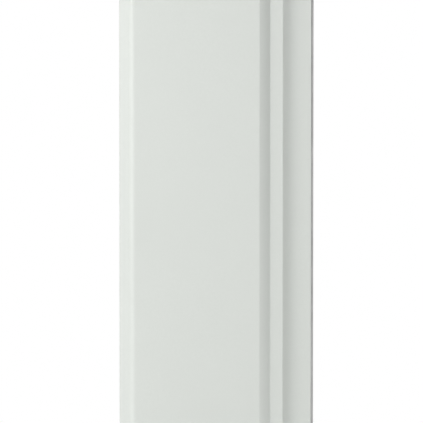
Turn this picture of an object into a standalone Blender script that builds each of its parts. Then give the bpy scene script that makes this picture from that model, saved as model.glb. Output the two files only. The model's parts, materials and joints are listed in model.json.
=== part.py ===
"""A floor-standing security gate: one antenna pedestal of a shop's anti-theft gate.

Two mouldings of one shape, the second turned half round about the vertical axis, close round an aluminium
frame. The frame carries two transmitter coils. The electronics are low down, behind a lockable door. An
alarm lamp and a cap close the top, and a plinth cover slides up to show the bolted foot.

The frame is +Z up, the front faces -Y, and the origin is on the floor under the middle of the pedestal.
"""

import math

import bmesh
import bpy
from mathutils import Matrix, Vector

# --- Driving dimensions, in metres -----

WIDTH = 0.3528
DEPTH = 0.0782
HEIGHT = 1.560

WALL = 0.003
GAP = 0.0003
CORNER_RADIUS = 0.0095

# The front steps down twice towards its right edge. Depths are measured from the middle plane, y = 0.
RAISED_Y = DEPTH / 2
LAND_Y = 0.0281
LEDGE_Y = 0.010
RAISED_EDGE_X = 0.0579
SHOULDER_END_X = 0.0829
LAND_EDGE_X = 0.1076
SHOULDER_BULGE = 0.0012
LEDGE_FILLET = 0.005

# The seam: a rubber bead lies in the notch that each ledge leaves beside the other moulding's wall.
SEAM_NOTCH = 0.0060
BEAD_INSET = 0.0017
BEAD_WIDTH = 0.0039

PLATE_SIZE = (0.392, 0.172, 0.008)
PLINTH_SIZE = (0.420, 0.200)
PLINTH_CORNER = 0.022
PLINTH_ROUNDING = 0.012
PLINTH_FLOOR_GAP = 0.001
PLINTH_TOP = 0.090
PLINTH_CLEARANCE = 0.0016
PLINTH_LIFT = 0.120

SHELL_BOTTOM = 0.0105
SHELL_TOP = 1.470
LENS_TOP = 1.514
LENS_INSET = 0.002
LENS_WALL = 0.0022
CAP_EDGE_RADIUS = 0.0055
CAP_ROUNDING = 0.005

UPRIGHT_SIZE = (0.030, 0.027)
UPRIGHT_X = 0.135
UPRIGHT_Y = 0.0205
UPRIGHT_BOTTOM = 0.012
UPRIGHT_TOP = 1.455
TUBE_WALL = 0.0018
CROSSBAR_HEIGHT = 0.020
CROSSBAR_ZS = {"lower": 0.545, "middle": 0.990, "upper": 1.435}

CARRIER_HALF_WIDTH = 0.146
CARRIER_BAND = 0.024
CARRIER_THICKNESS = 0.008
COIL_RADIUS = 0.0058

BAY_BOTTOM = 0.250
BAY_TOP = 0.512
DOOR_X = (-0.040, 0.112)
DOOR_Z = (0.270, 0.490)
DOOR_GAP = 0.001
DOOR_CORNER = 0.006

HINGE_AXIS = (-0.0410, RAISED_Y + 0.0036)
HINGE_HEIGHT = 0.030
HINGE_ZS = {"lower": 0.310, "upper": 0.450}
KNUCKLE_RADIUS = 0.0031
PIN_RADIUS = 0.0015

LOCK_XZ = (0.098, 0.380)
LOCK_RADIUS = 0.0085
PLUG_RADIUS = 0.0055
SWITCH_XZ = (0.060, 0.478)
SWITCH_TIP_DEG = 9

SCREW_X = -0.135
SCREW_ZS = (0.040, 0.070)
SCREW_HEAD_RADIUS = 0.0040
SCREW_SHANK_RADIUS = 0.0022
SCREW_SEAT_Y = -0.0373


# --- Outlines in plan -----

def arc(centre, radius, start_deg, end_deg, steps):
    """Points on an arc, ends included."""
    points = []
    for i in range(steps + 1):
        angle = math.radians(start_deg + (end_deg - start_deg) * i / steps)
        points.append((centre[0] + radius * math.cos(angle), centre[1] + radius * math.sin(angle)))
    return points


def bowed_line(start, end, bulge, steps):
    """Points from start to end on a shallow arch that stands out by bulge on the right of the way."""
    along = Vector(end) - Vector(start)
    side = Vector((along.y, -along.x)).normalized()
    points = []
    for i in range(steps + 1):
        share = i / steps
        point = Vector(start) + along * share + side * bulge * 4 * share * (1 - share)
        points.append(tuple(point))
    return points


def turned(points):
    """The same outline turned half round about the vertical axis."""
    return [(-x, -y) for x, y in points]


def mitred(before, point, after, distance):
    """The point moved to the left of the way through it, so that both its sides keep that distance."""
    normals = []
    for a, b in ((before, point), (point, after)):
        if a is not None and b is not None:
            way = Vector(b) - Vector(a)
            normals.append(Vector((-way.y, way.x)).normalized())
    middle = sum(normals, Vector((0, 0))).normalized()
    return tuple(Vector(point) + middle * distance / middle.dot(normals[0]))


def offset_path(points, distance):
    padded = [None, *points, None]
    return [mitred(*padded[i:i + 3], distance) for i in range(len(points))]


def offset_loop(points, distance):
    around = [points[-1], *points, points[0]]
    return [mitred(*around[i:i + 3], distance) for i in range(len(points))]


def stepped_face(wall_end_y, ledge_end_x, land_edge_radius=0.0008):
    """A moulding's outer face in plan: up its plain wall, across the raised panel, and down two steps."""
    left = -WIDTH / 2
    corner = (left + CORNER_RADIUS, -RAISED_Y + CORNER_RADIUS)
    land_edge = (LAND_EDGE_X - land_edge_radius, -LAND_Y + land_edge_radius)
    fillet = (LAND_EDGE_X + LEDGE_FILLET, -LEDGE_Y - LEDGE_FILLET)
    return [
        (left, wall_end_y),
        *arc(corner, CORNER_RADIUS, 180, 270, 7),
        *bowed_line((RAISED_EDGE_X, -RAISED_Y), (SHOULDER_END_X, -LAND_Y), SHOULDER_BULGE, 6),
        *arc(land_edge, land_edge_radius, 270, 360, 3),
        *arc(fillet, LEDGE_FILLET, 180, 90, 5),
        (ledge_end_x, -LEDGE_Y),
    ]


def shell_outline():
    """The front moulding in plan, WALL thick. Its wall stops short of the other moulding's ledge."""
    outer = stepped_face(LEDGE_Y - WALL - GAP, WIDTH / 2 - SEAM_NOTCH)
    return outer + offset_path(outer, WALL)[::-1]


def column_outline(land_edge_radius=0.0008):
    """The whole column in plan, both mouldings together."""
    half = stepped_face(LEDGE_Y, WIDTH / 2 - CORNER_RADIUS, land_edge_radius)
    return half + turned(half)


def rectangle(width, depth, radius=0.0, steps=5):
    """A rectangle round the origin, with round corners if it has a radius."""
    x, y = width / 2, depth / 2
    if not radius:
        return [(-x, -y), (x, -y), (x, y), (-x, y)]
    points = []
    for sx, sy, start in ((-1, -1, 180), (1, -1, 270), (1, 1, 0), (-1, 1, 90)):
        points += arc((sx * (x - radius), sy * (y - radius)), radius, start, start + 90, steps)
    return points


def moved(points, dx, dy):
    return [(x + dx, y + dy) for x, y in points]


# --- Solids -----

MATERIALS = {
    # name: (red, green, blue), roughness, metallic
    "shell_grey": ((0.70, 0.73, 0.70), 0.45, 0.0),
    "lamp_red": ((0.62, 0.03, 0.03), 0.20, 0.0),
    "rubber_dark": ((0.30, 0.30, 0.30), 0.80, 0.0),
    "steel_zinc": ((0.62, 0.62, 0.60), 0.35, 1.0),
    "steel_painted": ((0.30, 0.31, 0.32), 0.50, 0.0),
    "aluminium": ((0.75, 0.76, 0.77), 0.40, 1.0),
    "former_black": ((0.05, 0.05, 0.05), 0.60, 0.0),
    "coil_copper": ((0.55, 0.24, 0.10), 0.35, 0.8),
    "board_green": ((0.02, 0.17, 0.07), 0.50, 0.0),
    "plastic_black": ((0.04, 0.04, 0.04), 0.45, 0.0),
    "plastic_white": ((0.80, 0.80, 0.78), 0.40, 0.0),
    "capacitor_blue": ((0.05, 0.10, 0.28), 0.35, 0.0),
    "cable_grey": ((0.12, 0.12, 0.13), 0.60, 0.0),
    "button_red": ((0.55, 0.05, 0.04), 0.40, 0.0),
}


def clear_scene():
    for obj in list(bpy.data.objects):
        bpy.data.objects.remove(obj, do_unlink=True)


def material(name):
    found = bpy.data.materials.get(name)
    if found:
        return found
    colour, roughness, metallic = MATERIALS[name]
    made = bpy.data.materials.new(name)
    made.use_nodes = True
    shader = made.node_tree.nodes["Principled BSDF"]
    shader.inputs["Base Color"].default_value = (*colour, 1.0)
    shader.inputs["Roughness"].default_value = roughness
    shader.inputs["Metallic"].default_value = metallic
    made.diffuse_color = (*colour, 1.0)
    return made


def add(name, bm, finish):
    """Makes the named object from a bmesh, with its faces pointing out."""
    bmesh.ops.recalc_face_normals(bm, faces=bm.faces)
    mesh = bpy.data.meshes.new(name)
    bm.to_mesh(mesh)
    bm.free()
    mesh.shade_smooth()
    mesh.set_sharp_from_angle(angle=math.radians(35))
    obj = bpy.data.objects.new(name, mesh)
    obj.data.materials.append(material(finish))
    bpy.context.scene.collection.objects.link(obj)
    return obj


def prism(name, outline, bottom, top, finish):
    """An outline in plan, raised from bottom to top."""
    bm = bmesh.new()
    floor = bm.faces.new([bm.verts.new((x, y, bottom)) for x, y in outline])
    raised = bmesh.ops.extrude_face_region(bm, geom=[floor])["geom"]
    lifted = [v for v in raised if isinstance(v, bmesh.types.BMVert)]
    bmesh.ops.translate(bm, verts=lifted, vec=(0, 0, top - bottom))
    return add(name, bm, finish)


def ring_prism(name, outer, inner, bottom, top, finish):
    """A tube between two outlines with equally many points."""
    bm = bmesh.new()
    loops = []
    for outline, z in ((outer, bottom), (outer, top), (inner, top), (inner, bottom)):
        loops.append([bm.verts.new((x, y, z)) for x, y in outline])
    for a, b in zip(loops, loops[1:] + loops[:1]):
        for i in range(len(a)):
            j = (i + 1) % len(a)
            bm.faces.new((a[i], a[j], b[j], b[i]))
    return add(name, bm, finish)


def block(name, low, high, finish, bevel=0.0):
    """A box between two corners, its edges bevelled if asked."""
    outline = [(low[0], low[1]), (high[0], low[1]), (high[0], high[1]), (low[0], high[1])]
    obj = prism(name, outline, low[2], high[2], finish)
    if bevel:
        edge_bevel(obj, bevel, 2)
    return obj


def edge_bevel(obj, width, segments):
    modifier = obj.modifiers.new("edges", "BEVEL")
    modifier.width = width
    modifier.segments = segments
    modifier.limit_method = "ANGLE"
    modifier.angle_limit = math.radians(40)


def turned_profile(name, profile, centre, axis, finish, steps=24):
    """A closed profile of (radius, height) pairs turned about the axis through centre."""
    bm = bmesh.new()
    rings = []
    for radius, height in profile:
        if radius == 0:
            rings.append([bm.verts.new((0, 0, height))])
            continue
        ring = []
        for i in range(steps):
            angle = 2 * math.pi * i / steps
            ring.append(bm.verts.new((radius * math.cos(angle), radius * math.sin(angle), height)))
        rings.append(ring)
    closed = profile[0][0] != 0
    pairs = list(zip(rings, rings[1:] + rings[:1])) if closed else list(zip(rings, rings[1:]))
    for a, b in pairs:
        for i in range(steps):
            j = (i + 1) % steps
            corners = [a[i % len(a)], a[j % len(a)], b[j % len(b)], b[i % len(b)]]
            bm.faces.new(list(dict.fromkeys(corners)))
    turn = Vector((0, 0, 1)).rotation_difference(Vector(axis)).to_matrix().to_4x4()
    bm.transform(Matrix.Translation(centre) @ turn)
    return add(name, bm, finish)


def cylinder(name, radius, centre, axis, length, finish, steps=24):
    """A cylinder that starts at centre and runs length along axis."""
    profile = [(0, 0), (radius, 0), (radius, length), (0, length)]
    return turned_profile(name, profile, centre, axis, finish, steps)


def tube(name, outer, inner, centre, axis, length, finish, steps=24):
    profile = [(outer, 0), (outer, length), (inner, length), (inner, 0)]
    return turned_profile(name, profile, centre, axis, finish, steps)


def hole(radius, centre, axis, depth, steps=24):
    """A round cutter."""
    return cylinder("cutter", radius, centre, axis, depth, "shell_grey", steps)


def pocket(low, high):
    """A square cutter between two corners."""
    return block("cutter", low, high, "shell_grey")


def combine(obj, others, operation):
    """Applies a Boolean of obj with the others at once, and removes them."""
    for other in others:
        modifier = obj.modifiers.new("cut", "BOOLEAN")
        modifier.operation = operation
        modifier.solver = "EXACT"
        modifier.object = other
    bpy.context.view_layer.update()
    graph = bpy.context.evaluated_depsgraph_get()
    result = bpy.data.meshes.new_from_object(obj.evaluated_get(graph))
    obj.modifiers.clear()
    obj.data = result
    result.shade_smooth()
    result.set_sharp_from_angle(angle=math.radians(35))
    for other in others:
        bpy.data.objects.remove(other, do_unlink=True)
    return obj


def cut(obj, *others):
    return combine(obj, others, "DIFFERENCE")


def join(obj, *others):
    return combine(obj, others, "UNION")


def half_turn(obj):
    """Turns the object half round about the pedestal's vertical axis."""
    obj.data.transform(Matrix.Rotation(math.pi, 4, "Z"))
    return obj


def pivot(name, place, pieces, parent=None):
    """An empty on a joint's axis. Its pieces hang from it and keep their places."""
    empty = bpy.data.objects.new(name, None)
    empty.empty_display_size = 0.02
    bpy.context.scene.collection.objects.link(empty)
    empty.location = place
    if parent:
        empty.parent = parent[0]
        empty.location = Vector(place) - Vector(parent[1])
    for piece in pieces:
        piece.data.transform(Matrix.Translation(-Vector(place)))
        piece.parent = empty
    return empty, place


def wire(name, points, radius, finish, cyclic=False):
    """A round wire along points, as a curve with a bevel."""
    curve = bpy.data.curves.new(name, "CURVE")
    curve.dimensions = "3D"
    curve.bevel_depth = radius
    curve.bevel_resolution = 2
    curve.use_fill_caps = not cyclic
    spline = curve.splines.new("POLY")
    spline.points.add(len(points) - 1)
    for place, point in zip(spline.points, points):
        place.co = (*point, 1.0)
    spline.use_cyclic_u = cyclic
    obj = bpy.data.objects.new(name, curve)
    curve.materials.append(material(finish))
    bpy.context.scene.collection.objects.link(obj)
    return obj


def smooth_route(points, steps):
    """Points on a smooth curve through the given ones, steps for each stretch (Catmull-Rom)."""
    ways = [Vector(p) for p in points]
    ways = [2 * ways[0] - ways[1], *ways, 2 * ways[-1] - ways[-2]]
    route = []
    for a, b, c, d in zip(ways, ways[1:], ways[2:], ways[3:]):
        for i in range(steps):
            t = i / steps
            square = (2 * a - 5 * b + 4 * c - d) * t ** 2
            cube = (3 * b - a - 3 * c + d) * t ** 3
            route.append(tuple((2 * b + (c - a) * t + square + cube) / 2))
    route.append(tuple(ways[-2]))
    return route


# --- Casing -----

def slot_cutter(x, z, width, height, face_y):
    low = (x - width / 2, face_y - 0.005, z - height / 2)
    return pocket(low, (x + width / 2, face_y + 0.007, z + height / 2))


def make_shell(name):
    """A full-height moulding with sound slots near the top, and vents and two screw holes near the foot."""
    shell = prism(name, shell_outline(), SHELL_BOTTOM, SHELL_TOP, "shell_grey")
    front = -RAISED_Y - 0.005
    cutters = []
    for row in range(6):
        cutters.append(slot_cutter(-0.020, 1.396 + row * 0.008, 0.060, 0.003, -RAISED_Y))
    for row in range(8):
        cutters.append(slot_cutter(0.138, 0.170 + row * 0.009, 0.036, 0.0035, -LEDGE_Y))
    seat = SCREW_SEAT_Y - front
    head, shank = SCREW_HEAD_RADIUS, SCREW_SHANK_RADIUS
    stepped = [(0, 0), (head, 0), (head, seat), (shank, seat), (shank, 0.012), (0, 0.012)]
    for z in SCREW_ZS:
        cutters.append(turned_profile("cutter", stepped, (SCREW_X, front, z), (0, 1, 0), "shell_grey", 20))
    return cut(shell, *cutters)


def shell_screws():
    """The screws at each moulding's foot, behind the plinth cover, which go into the upright behind it."""
    head_y = SCREW_SEAT_Y - GAP
    for side in ("front", "rear"):
        for number, z in enumerate(SCREW_ZS, 1):
            profile = [
                (0, -0.0083), (SCREW_SHANK_RADIUS - GAP, -0.0083), (SCREW_SHANK_RADIUS - GAP, 0),
                (SCREW_HEAD_RADIUS - GAP, 0), (SCREW_HEAD_RADIUS - GAP, 0.0013), (0, 0.0013),
            ]
            name = f"{side}_shell_screw_{number}"
            screw = turned_profile(name, profile, (SCREW_X, head_y, z), (0, -1, 0), "steel_zinc", 16)
            if side == "rear":
                half_turn(screw)


def casing():
    make_shell("front_shell")
    rear = half_turn(make_shell("rear_shell"))
    opening = rectangle(DOOR_X[1] - DOOR_X[0], DOOR_Z[1] - DOOR_Z[0], DOOR_CORNER)
    near, far = RAISED_Y - 0.010, RAISED_Y + 0.010
    cut(rear, upright_panel("cutter", opening, DOOR_X, DOOR_Z, near, far, "shell_grey"))
    seams()
    shell_screws()
    lamp_and_cap()
    plinth()


def upright_panel(name, outline, x_range, z_range, y_low, y_high, finish):
    """A panel that stands in the X-Z plane: its outline is centred on the two ranges."""
    panel = prism(name, outline, -y_high, -y_low, finish)
    stand = Matrix.Rotation(math.pi / 2, 4, "X")
    centre = Vector((sum(x_range) / 2, 0, sum(z_range) / 2))
    panel.data.transform(Matrix.Translation(centre) @ stand)
    return panel


def seams():
    """The rubber bead in each notch between a ledge and the other moulding's wall."""
    outer_x = WIDTH / 2 - BEAD_INSET
    low = (outer_x - BEAD_WIDTH, -LEDGE_Y + GAP, SHELL_BOTTOM)
    high = (outer_x, -LEDGE_Y + WALL - GAP, SHELL_TOP)
    block("seam_bead_right", low, high, "rubber_dark")
    half_turn(block("seam_bead_left", low, high, "rubber_dark"))


def lamp_and_cap():
    """The lamp's lens is a band round the column, and the cap a hollow lid on it."""
    lens_outer = offset_loop(column_outline(), LENS_INSET)
    lens_inner = offset_loop(column_outline(), LENS_INSET + LENS_WALL)
    ring_prism("lamp_lens", lens_outer, lens_inner, SHELL_TOP + GAP, LENS_TOP, "lamp_red")
    outline = column_outline(CAP_EDGE_RADIUS)
    cap = round_topped("top_cap", outline, LENS_TOP + GAP, HEIGHT, CAP_ROUNDING, "shell_grey")
    inside = offset_loop(outline, CAP_ROUNDING)
    cut(cap, prism("cutter", inside, LENS_TOP - 0.010, HEIGHT - WALL, "shell_grey"))


def round_topped(name, outline, bottom, top, radius, finish):
    """A prism whose top rim is rounded: its outline is drawn in along a quarter circle."""
    levels = [(bottom, 0.0)]
    levels += [(top - radius + rise, radius - reach) for reach, rise in arc((0, 0), radius, 0, 90, 5)]
    bm = bmesh.new()
    loops = []
    for z, inset in levels:
        loops.append([bm.verts.new((x, y, z)) for x, y in offset_loop(outline, inset)])
    bm.faces.new(loops[0])
    bm.faces.new(loops[-1])
    for low, high in zip(loops, loops[1:]):
        for i in range(len(low)):
            j = (i + 1) % len(low)
            bm.faces.new((low[i], low[j], high[j], high[i]))
    return add(name, bm, finish)


def plinth():
    """The plinth cover, a low box open below. The column goes through it, and it slides up the column."""
    finish = "shell_grey"
    outline = rectangle(*PLINTH_SIZE, PLINTH_CORNER, 6)
    cover = round_topped("plinth_cover", outline, PLINTH_FLOOR_GAP, PLINTH_TOP, PLINTH_ROUNDING, finish)
    inside = offset_loop(outline, WALL)
    hollow = prism("cutter", inside, -PLINTH_TOP, PLINTH_TOP - PLINTH_ROUNDING, finish)
    way = prism("cutter", offset_loop(column_outline(), -PLINTH_CLEARANCE), 0.050, 2 * PLINTH_TOP, finish)
    cut(cover, hollow)
    cut(cover, way)
    pivot("plinth_slide", (0, 0, PLINTH_FLOOR_GAP), [cover])


# --- Foot and frame -----

ANCHOR_XY = (0.172, 0.064)
ANCHOR_HOLE_RADIUS = 0.0068
CABLE_HOLE_RADIUS = 0.022
FOOT_TOP = 0.150


def foot():
    """The steel plate on the floor, its anchor bolts, and the angle brackets that hold the uprights."""
    width, depth, thickness = PLATE_SIZE
    plate = prism("base_plate", rectangle(width, depth, 0.012), 0.0, thickness, "steel_painted")
    holes = [hole(CABLE_HOLE_RADIUS, (0, 0, -0.005), (0, 0, 1), 0.020, 32)]
    corners = [(sx * ANCHOR_XY[0], sy * ANCHOR_XY[1]) for sx in (-1, 1) for sy in (-1, 1)]
    for x, y in corners:
        holes.append(hole(ANCHOR_HOLE_RADIUS, (x, y, -0.005), (0, 0, 1), 0.020))
    cut(plate, *holes)
    tube("cable_grommet", CABLE_HOLE_RADIUS - GAP, 0.015, (0, 0, 0.001), (0, 0, 1), 0.011, "rubber_dark")
    for number, (x, y) in enumerate(corners, 1):
        anchor(number, x, y)
    foot_bracket("foot_bracket_left")
    half_turn(foot_bracket("foot_bracket_right"))


def anchor(number, x, y):
    """A floor anchor: a washer on the plate and a hexagon bolt through both."""
    washer_z = PLATE_SIZE[2] + GAP
    head_z = washer_z + 0.0025 + GAP
    name = f"anchor_washer_{number}"
    tube(name, 0.012, 0.0066, (x, y, washer_z), (0, 0, 1), 0.0025, "steel_zinc", 20)
    head = cylinder(f"anchor_bolt_{number}", 0.0105, (x, y, head_z), (0, 0, 1), 0.0075, "steel_zinc", 6)
    shank = cylinder("shank", 0.0060, (x, y, 0.0006), (0, 0, 1), head_z + 0.001, "steel_zinc", 16)
    join(head, shank)


def foot_bracket(name):
    """An angle of folded steel: an upright leaf on the upright's outer side, and a toe on the plate."""
    side_x = -UPRIGHT_X - UPRIGHT_SIZE[0] / 2 - GAP
    floor = PLATE_SIZE[2] + GAP
    sheet = 0.003
    low_y, high_y = -UPRIGHT_Y - UPRIGHT_SIZE[1] / 2, -UPRIGHT_Y + UPRIGHT_SIZE[1] / 2
    bracket = block(name, (side_x - sheet, low_y, floor), (side_x, high_y, FOOT_TOP), "steel_painted")
    toe = block("toe", (side_x - sheet, low_y, floor), (-0.095, 0.006, floor + sheet), "steel_painted")
    return join(bracket, toe)


def frame():
    """Two rectangular tubes, one behind each raised panel, tied by three crossbars in the middle plane."""
    width, depth = UPRIGHT_SIZE
    outer = moved(rectangle(width, depth, 0.002, 2), -UPRIGHT_X, -UPRIGHT_Y)
    inner = moved(rectangle(width - 2 * TUBE_WALL, depth - 2 * TUBE_WALL, 0.001, 2), -UPRIGHT_X, -UPRIGHT_Y)
    upright("upright_left", outer, inner)
    half_turn(upright("upright_right", outer, inner))
    bar_depth = 2 * (UPRIGHT_Y - depth / 2 - GAP)
    half_length = UPRIGHT_X + width / 2
    for level, z in CROSSBAR_ZS.items():
        bar_outer = rectangle(CROSSBAR_HEIGHT, bar_depth, 0.002, 2)
        bar_inner = rectangle(CROSSBAR_HEIGHT - 2 * TUBE_WALL, bar_depth - 2 * TUBE_WALL, 0.001, 2)
        bar = ring_prism(f"crossbar_{level}", bar_outer, bar_inner, -half_length, half_length, "aluminium")
        bar.data.transform(Matrix.Translation((0, 0, z)) @ Matrix.Rotation(math.pi / 2, 4, "Y"))


def upright(name, outer, inner):
    """A tube with a hole for each screw of the moulding in front of it."""
    post = ring_prism(name, outer, inner, UPRIGHT_BOTTOM, UPRIGHT_TOP, "aluminium")
    start_y = -UPRIGHT_Y - UPRIGHT_SIZE[1]
    holes = []
    for z in SCREW_ZS:
        holes.append(hole(SCREW_SHANK_RADIUS, (SCREW_X, start_y, z), (0, 1, 0), 0.020, 16))
    return cut(post, *holes)


def coils():
    """Two loops of wire, each wound round the rim of a moulded carrier that is screwed to the uprights."""
    for level, below, above in (("lower", "lower", "middle"), ("upper", "middle", "upper")):
        clear = CROSSBAR_HEIGHT / 2 + 2 * COIL_RADIUS + 0.003
        z_range = (CROSSBAR_ZS[below] + clear, CROSSBAR_ZS[above] - clear)
        coil_carrier(f"coil_carrier_{level}", z_range)
        coil(f"coil_{level}", z_range)


def coil_carrier(name, z_range):
    height = z_range[1] - z_range[0]
    x_range = (-CARRIER_HALF_WIDTH, CARRIER_HALF_WIDTH)
    half = CARRIER_THICKNESS / 2
    outer = rectangle(2 * CARRIER_HALF_WIDTH, height, 0.030)
    inner = rectangle(2 * (CARRIER_HALF_WIDTH - CARRIER_BAND), height - 2 * CARRIER_BAND, 0.012)
    carrier = upright_panel(name, outer, x_range, z_range, -half, half, "former_black")
    cut(carrier, upright_panel("cutter", inner, x_range, z_range, -2 * half, 2 * half, "former_black"))
    bosses = []
    reach = UPRIGHT_Y - UPRIGHT_SIZE[1] / 2 - GAP
    for side in (-1, 1):
        for z in (z_range[0] + 0.080, z_range[1] - 0.080):
            start = (side * (CARRIER_HALF_WIDTH - CARRIER_BAND / 2), side * half / 2, z)
            length = reach - half / 2
            bosses.append(cylinder("boss", 0.007, start, (0, side, 0), length, "former_black", 16))
    return join(carrier, *bosses)


def coil(name, z_range):
    spread = COIL_RADIUS + 0.0005
    width = 2 * (CARRIER_HALF_WIDTH + spread)
    height = z_range[1] - z_range[0] + 2 * spread
    middle = sum(z_range) / 2
    loop = [(x, 0, z + middle) for x, z in rectangle(width, height, 0.030 + spread, 6)]
    return wire(name, loop, COIL_RADIUS, "coil_copper", cyclic=True)


# --- Electronics -----

CHASSIS_SHEET = 0.0015
CHASSIS_FRONT_Y = -0.0067
BOARD_Y = (-0.0005, 0.0011)
BOARD_X = (-0.100, 0.020)
BOARD_Z = (0.275, 0.485)
SUPPLY_X = (0.030, 0.086)
SUPPLY_Z = (0.300, 0.448)
SUPPLY_TOP_Y = 0.014
BUTTON_XZ = (-0.010, 0.462)
BUTTON_TRAVEL = 0.0012
KNOB_XZ = (-0.010, 0.430)


def electronics():
    """Behind the door: a folded chassis with the board, the supply and what the fitter sets by hand."""
    sheet, front = CHASSIS_SHEET, CHASSIS_FRONT_Y
    inner_x = UPRIGHT_X - UPRIGHT_SIZE[0] / 2 - GAP
    fold = [
        (-0.150, front), (inner_x, front), (inner_x, 0.034),
        (inner_x - sheet, 0.034), (inner_x - sheet, front + sheet), (-0.150, front + sheet),
    ]
    chassis = prism("chassis", fold, BAY_BOTTOM, BAY_TOP, "steel_zinc")
    studs = []
    for x in (BOARD_X[0] + 0.006, BOARD_X[1] - 0.006):
        for z in (BOARD_Z[0] + 0.006, BOARD_Z[1] - 0.006):
            start = (x, front + sheet / 2, z)
            length = BOARD_Y[0] - GAP - start[1]
            studs.append(cylinder("stud", 0.003, start, (0, 1, 0), length, "steel_zinc", 12))
    join(chassis, *studs)
    low, high = zip(BOARD_X, BOARD_Y, BOARD_Z)
    block("main_board", low, high, "board_green")
    on_board = BOARD_Y[1] + GAP
    heatsink(on_board)
    for number, x in enumerate((-0.078, -0.052, -0.026), 1):
        cylinder(f"capacitor_{number}", 0.011, (x, on_board, 0.300), (0, 1, 0), 0.021, "capacitor_blue")
    low, high = (-0.094, on_board, 0.460), (-0.030, on_board + 0.012, 0.472)
    terminal_block("signal_terminals", low, high, 8, 0.0024, "board_green")
    low, high = (0.036, front + sheet + GAP, 0.262), (0.080, 0.010, 0.286)
    terminal_block("mains_terminals", low, high, 3, 0.0045, "plastic_black")
    low = (SUPPLY_X[0], front + sheet + GAP, SUPPLY_Z[0])
    block("power_supply", low, (SUPPLY_X[1], SUPPLY_TOP_Y, SUPPLY_Z[1]), "aluminium", 0.0012)
    switch(front + sheet + GAP)
    button(on_board)
    knob(on_board)


def heatsink(base_y):
    """A finned block on the board."""
    low, high = (-0.094, base_y, 0.330), (-0.044, base_y + 0.022, 0.400)
    sink = block("heatsink", low, high, "aluminium")
    cutters = []
    for i in range(6):
        x = low[0] + 0.0045 + i * 0.0078
        start = (x, base_y + 0.004, low[2] - 0.01)
        cutters.append(pocket(start, (x + 0.005, 0.05, high[2] + 0.01)))
    cut(sink, *cutters)


def terminal_block(name, low, high, count, hole_radius, finish):
    """A row of screw terminals, each a blind hole in the block's face."""
    row = block(name, low, high, finish)
    pitch = (high[0] - low[0]) / count
    cutters = []
    for i in range(count):
        place = (low[0] + (i + 0.5) * pitch, high[1] - 0.003, (low[2] + high[2]) / 2)
        cutters.append(hole(hole_radius, place, (0, 1, 0), 0.01, 10))
    cut(row, *cutters)


def switch(base_y):
    """The mains rocker: a frame that stands on the chassis, and the rocker, tipped one way at rest."""
    x, z = SWITCH_XZ
    face_y = 0.021
    low, high = (x - 0.010, base_y, z - 0.014), (x + 0.010, face_y, z + 0.014)
    housing = block("switch_housing", low, high, "plastic_black")
    cavity = pocket((x - 0.0072, 0.004, z - 0.0110), (x + 0.0072, 0.05, z + 0.0110))
    cut(housing, cavity)
    half_x = 0.0066
    section = [(-0.0096, 0.0035), (0.0, 0.0012), (0.0096, 0.0035)]
    section += arc((0, -0.0005), 0.0092, -8, -172, 8)
    rocker = prism("switch_rocker", section, -half_x, half_x, "plastic_white")
    lay = Matrix(((0, 0, 1, 0), (0, 1, 0, 0), (1, 0, 0, 0), (0, 0, 0, 1)))
    tip = Matrix.Rotation(math.radians(SWITCH_TIP_DEG), 4, "X")
    place = (x, face_y - 0.0020, z)
    rocker.data.transform(Matrix.Translation(place) @ tip @ lay)
    repair_normals(rocker)
    pivot("switch_rock", place, [rocker])


def repair_normals(obj):
    bm = bmesh.new()
    bm.from_mesh(obj.data)
    bmesh.ops.recalc_face_normals(bm, faces=bm.faces)
    bm.to_mesh(obj.data)
    bm.free()


def button(base_y):
    """The reset button, which travels towards the board."""
    x, z = BUTTON_XZ
    top = base_y + 0.010
    low, high = (x - 0.006, base_y, z - 0.006), (x + 0.006, top, z + 0.006)
    housing = block("button_housing", low, high, "plastic_black")
    cut(housing, hole(0.0036, (x, base_y + 0.003, z), (0, 1, 0), 0.02, 20))
    start = base_y + 0.003 + BUTTON_TRAVEL + 0.0006
    cap = cylinder("reset_button", 0.0032, (x, start, z), (0, 1, 0), top + 0.003 - start, "button_red", 20)
    pivot("reset_press", (x, start, z), [cap])


def knob(base_y):
    """The sounder's volume control: a fixed body and a turning knob with a pointer slot."""
    x, z = KNOB_XZ
    top = base_y + 0.007
    block("volume_body", (x - 0.007, base_y, z - 0.007), (x + 0.007, top, z + 0.007), "plastic_black")
    dial = cylinder("volume_knob", 0.006, (x, top + GAP, z), (0, 1, 0), 0.007, "plastic_white")
    slot = pocket((x - 0.0008, top + 0.0055, z), (x + 0.0008, 0.05, z + 0.008))
    cut(dial, slot)
    pivot("volume_turn", (x, top + GAP, z), [dial])


def sounder_and_lamp():
    """The sounder behind the sound slots, and the lamp's board inside its lens."""
    start = (-0.020, -UPRIGHT_Y + UPRIGHT_SIZE[1] / 2, 1.416)
    profile = [(0, 0), (0.020, 0), (0.020, 0.016), (0.006, 0.016), (0.005, 0.012), (0, 0.012)]
    turned_profile("sounder", profile, start, (0, -1, 0), "plastic_black", 32)
    top = SHELL_TOP + 0.012
    board = block("lamp_board", (-0.150, -0.0050, top), (0.150, 0.0050, top + 0.0016), "board_green")
    foot_z = CROSSBAR_ZS["upper"] + CROSSBAR_HEIGHT / 2 + GAP
    height = top - foot_z + 0.001
    posts = []
    for side in (-1, 1):
        start = (side * 0.100, 0, foot_z)
        posts.append(cylinder("post", 0.004, start, (0, 0, 1), height, "plastic_white", 12))
    lights = []
    for i in range(9):
        x = -0.128 + i * 0.032
        lights.append(cylinder("light", 0.0028, (x, 0, top + 0.001), (0, 0, 1), 0.008, "plastic_white", 8))
    join(board, *posts, *lights)


# --- Service door -----

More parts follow.
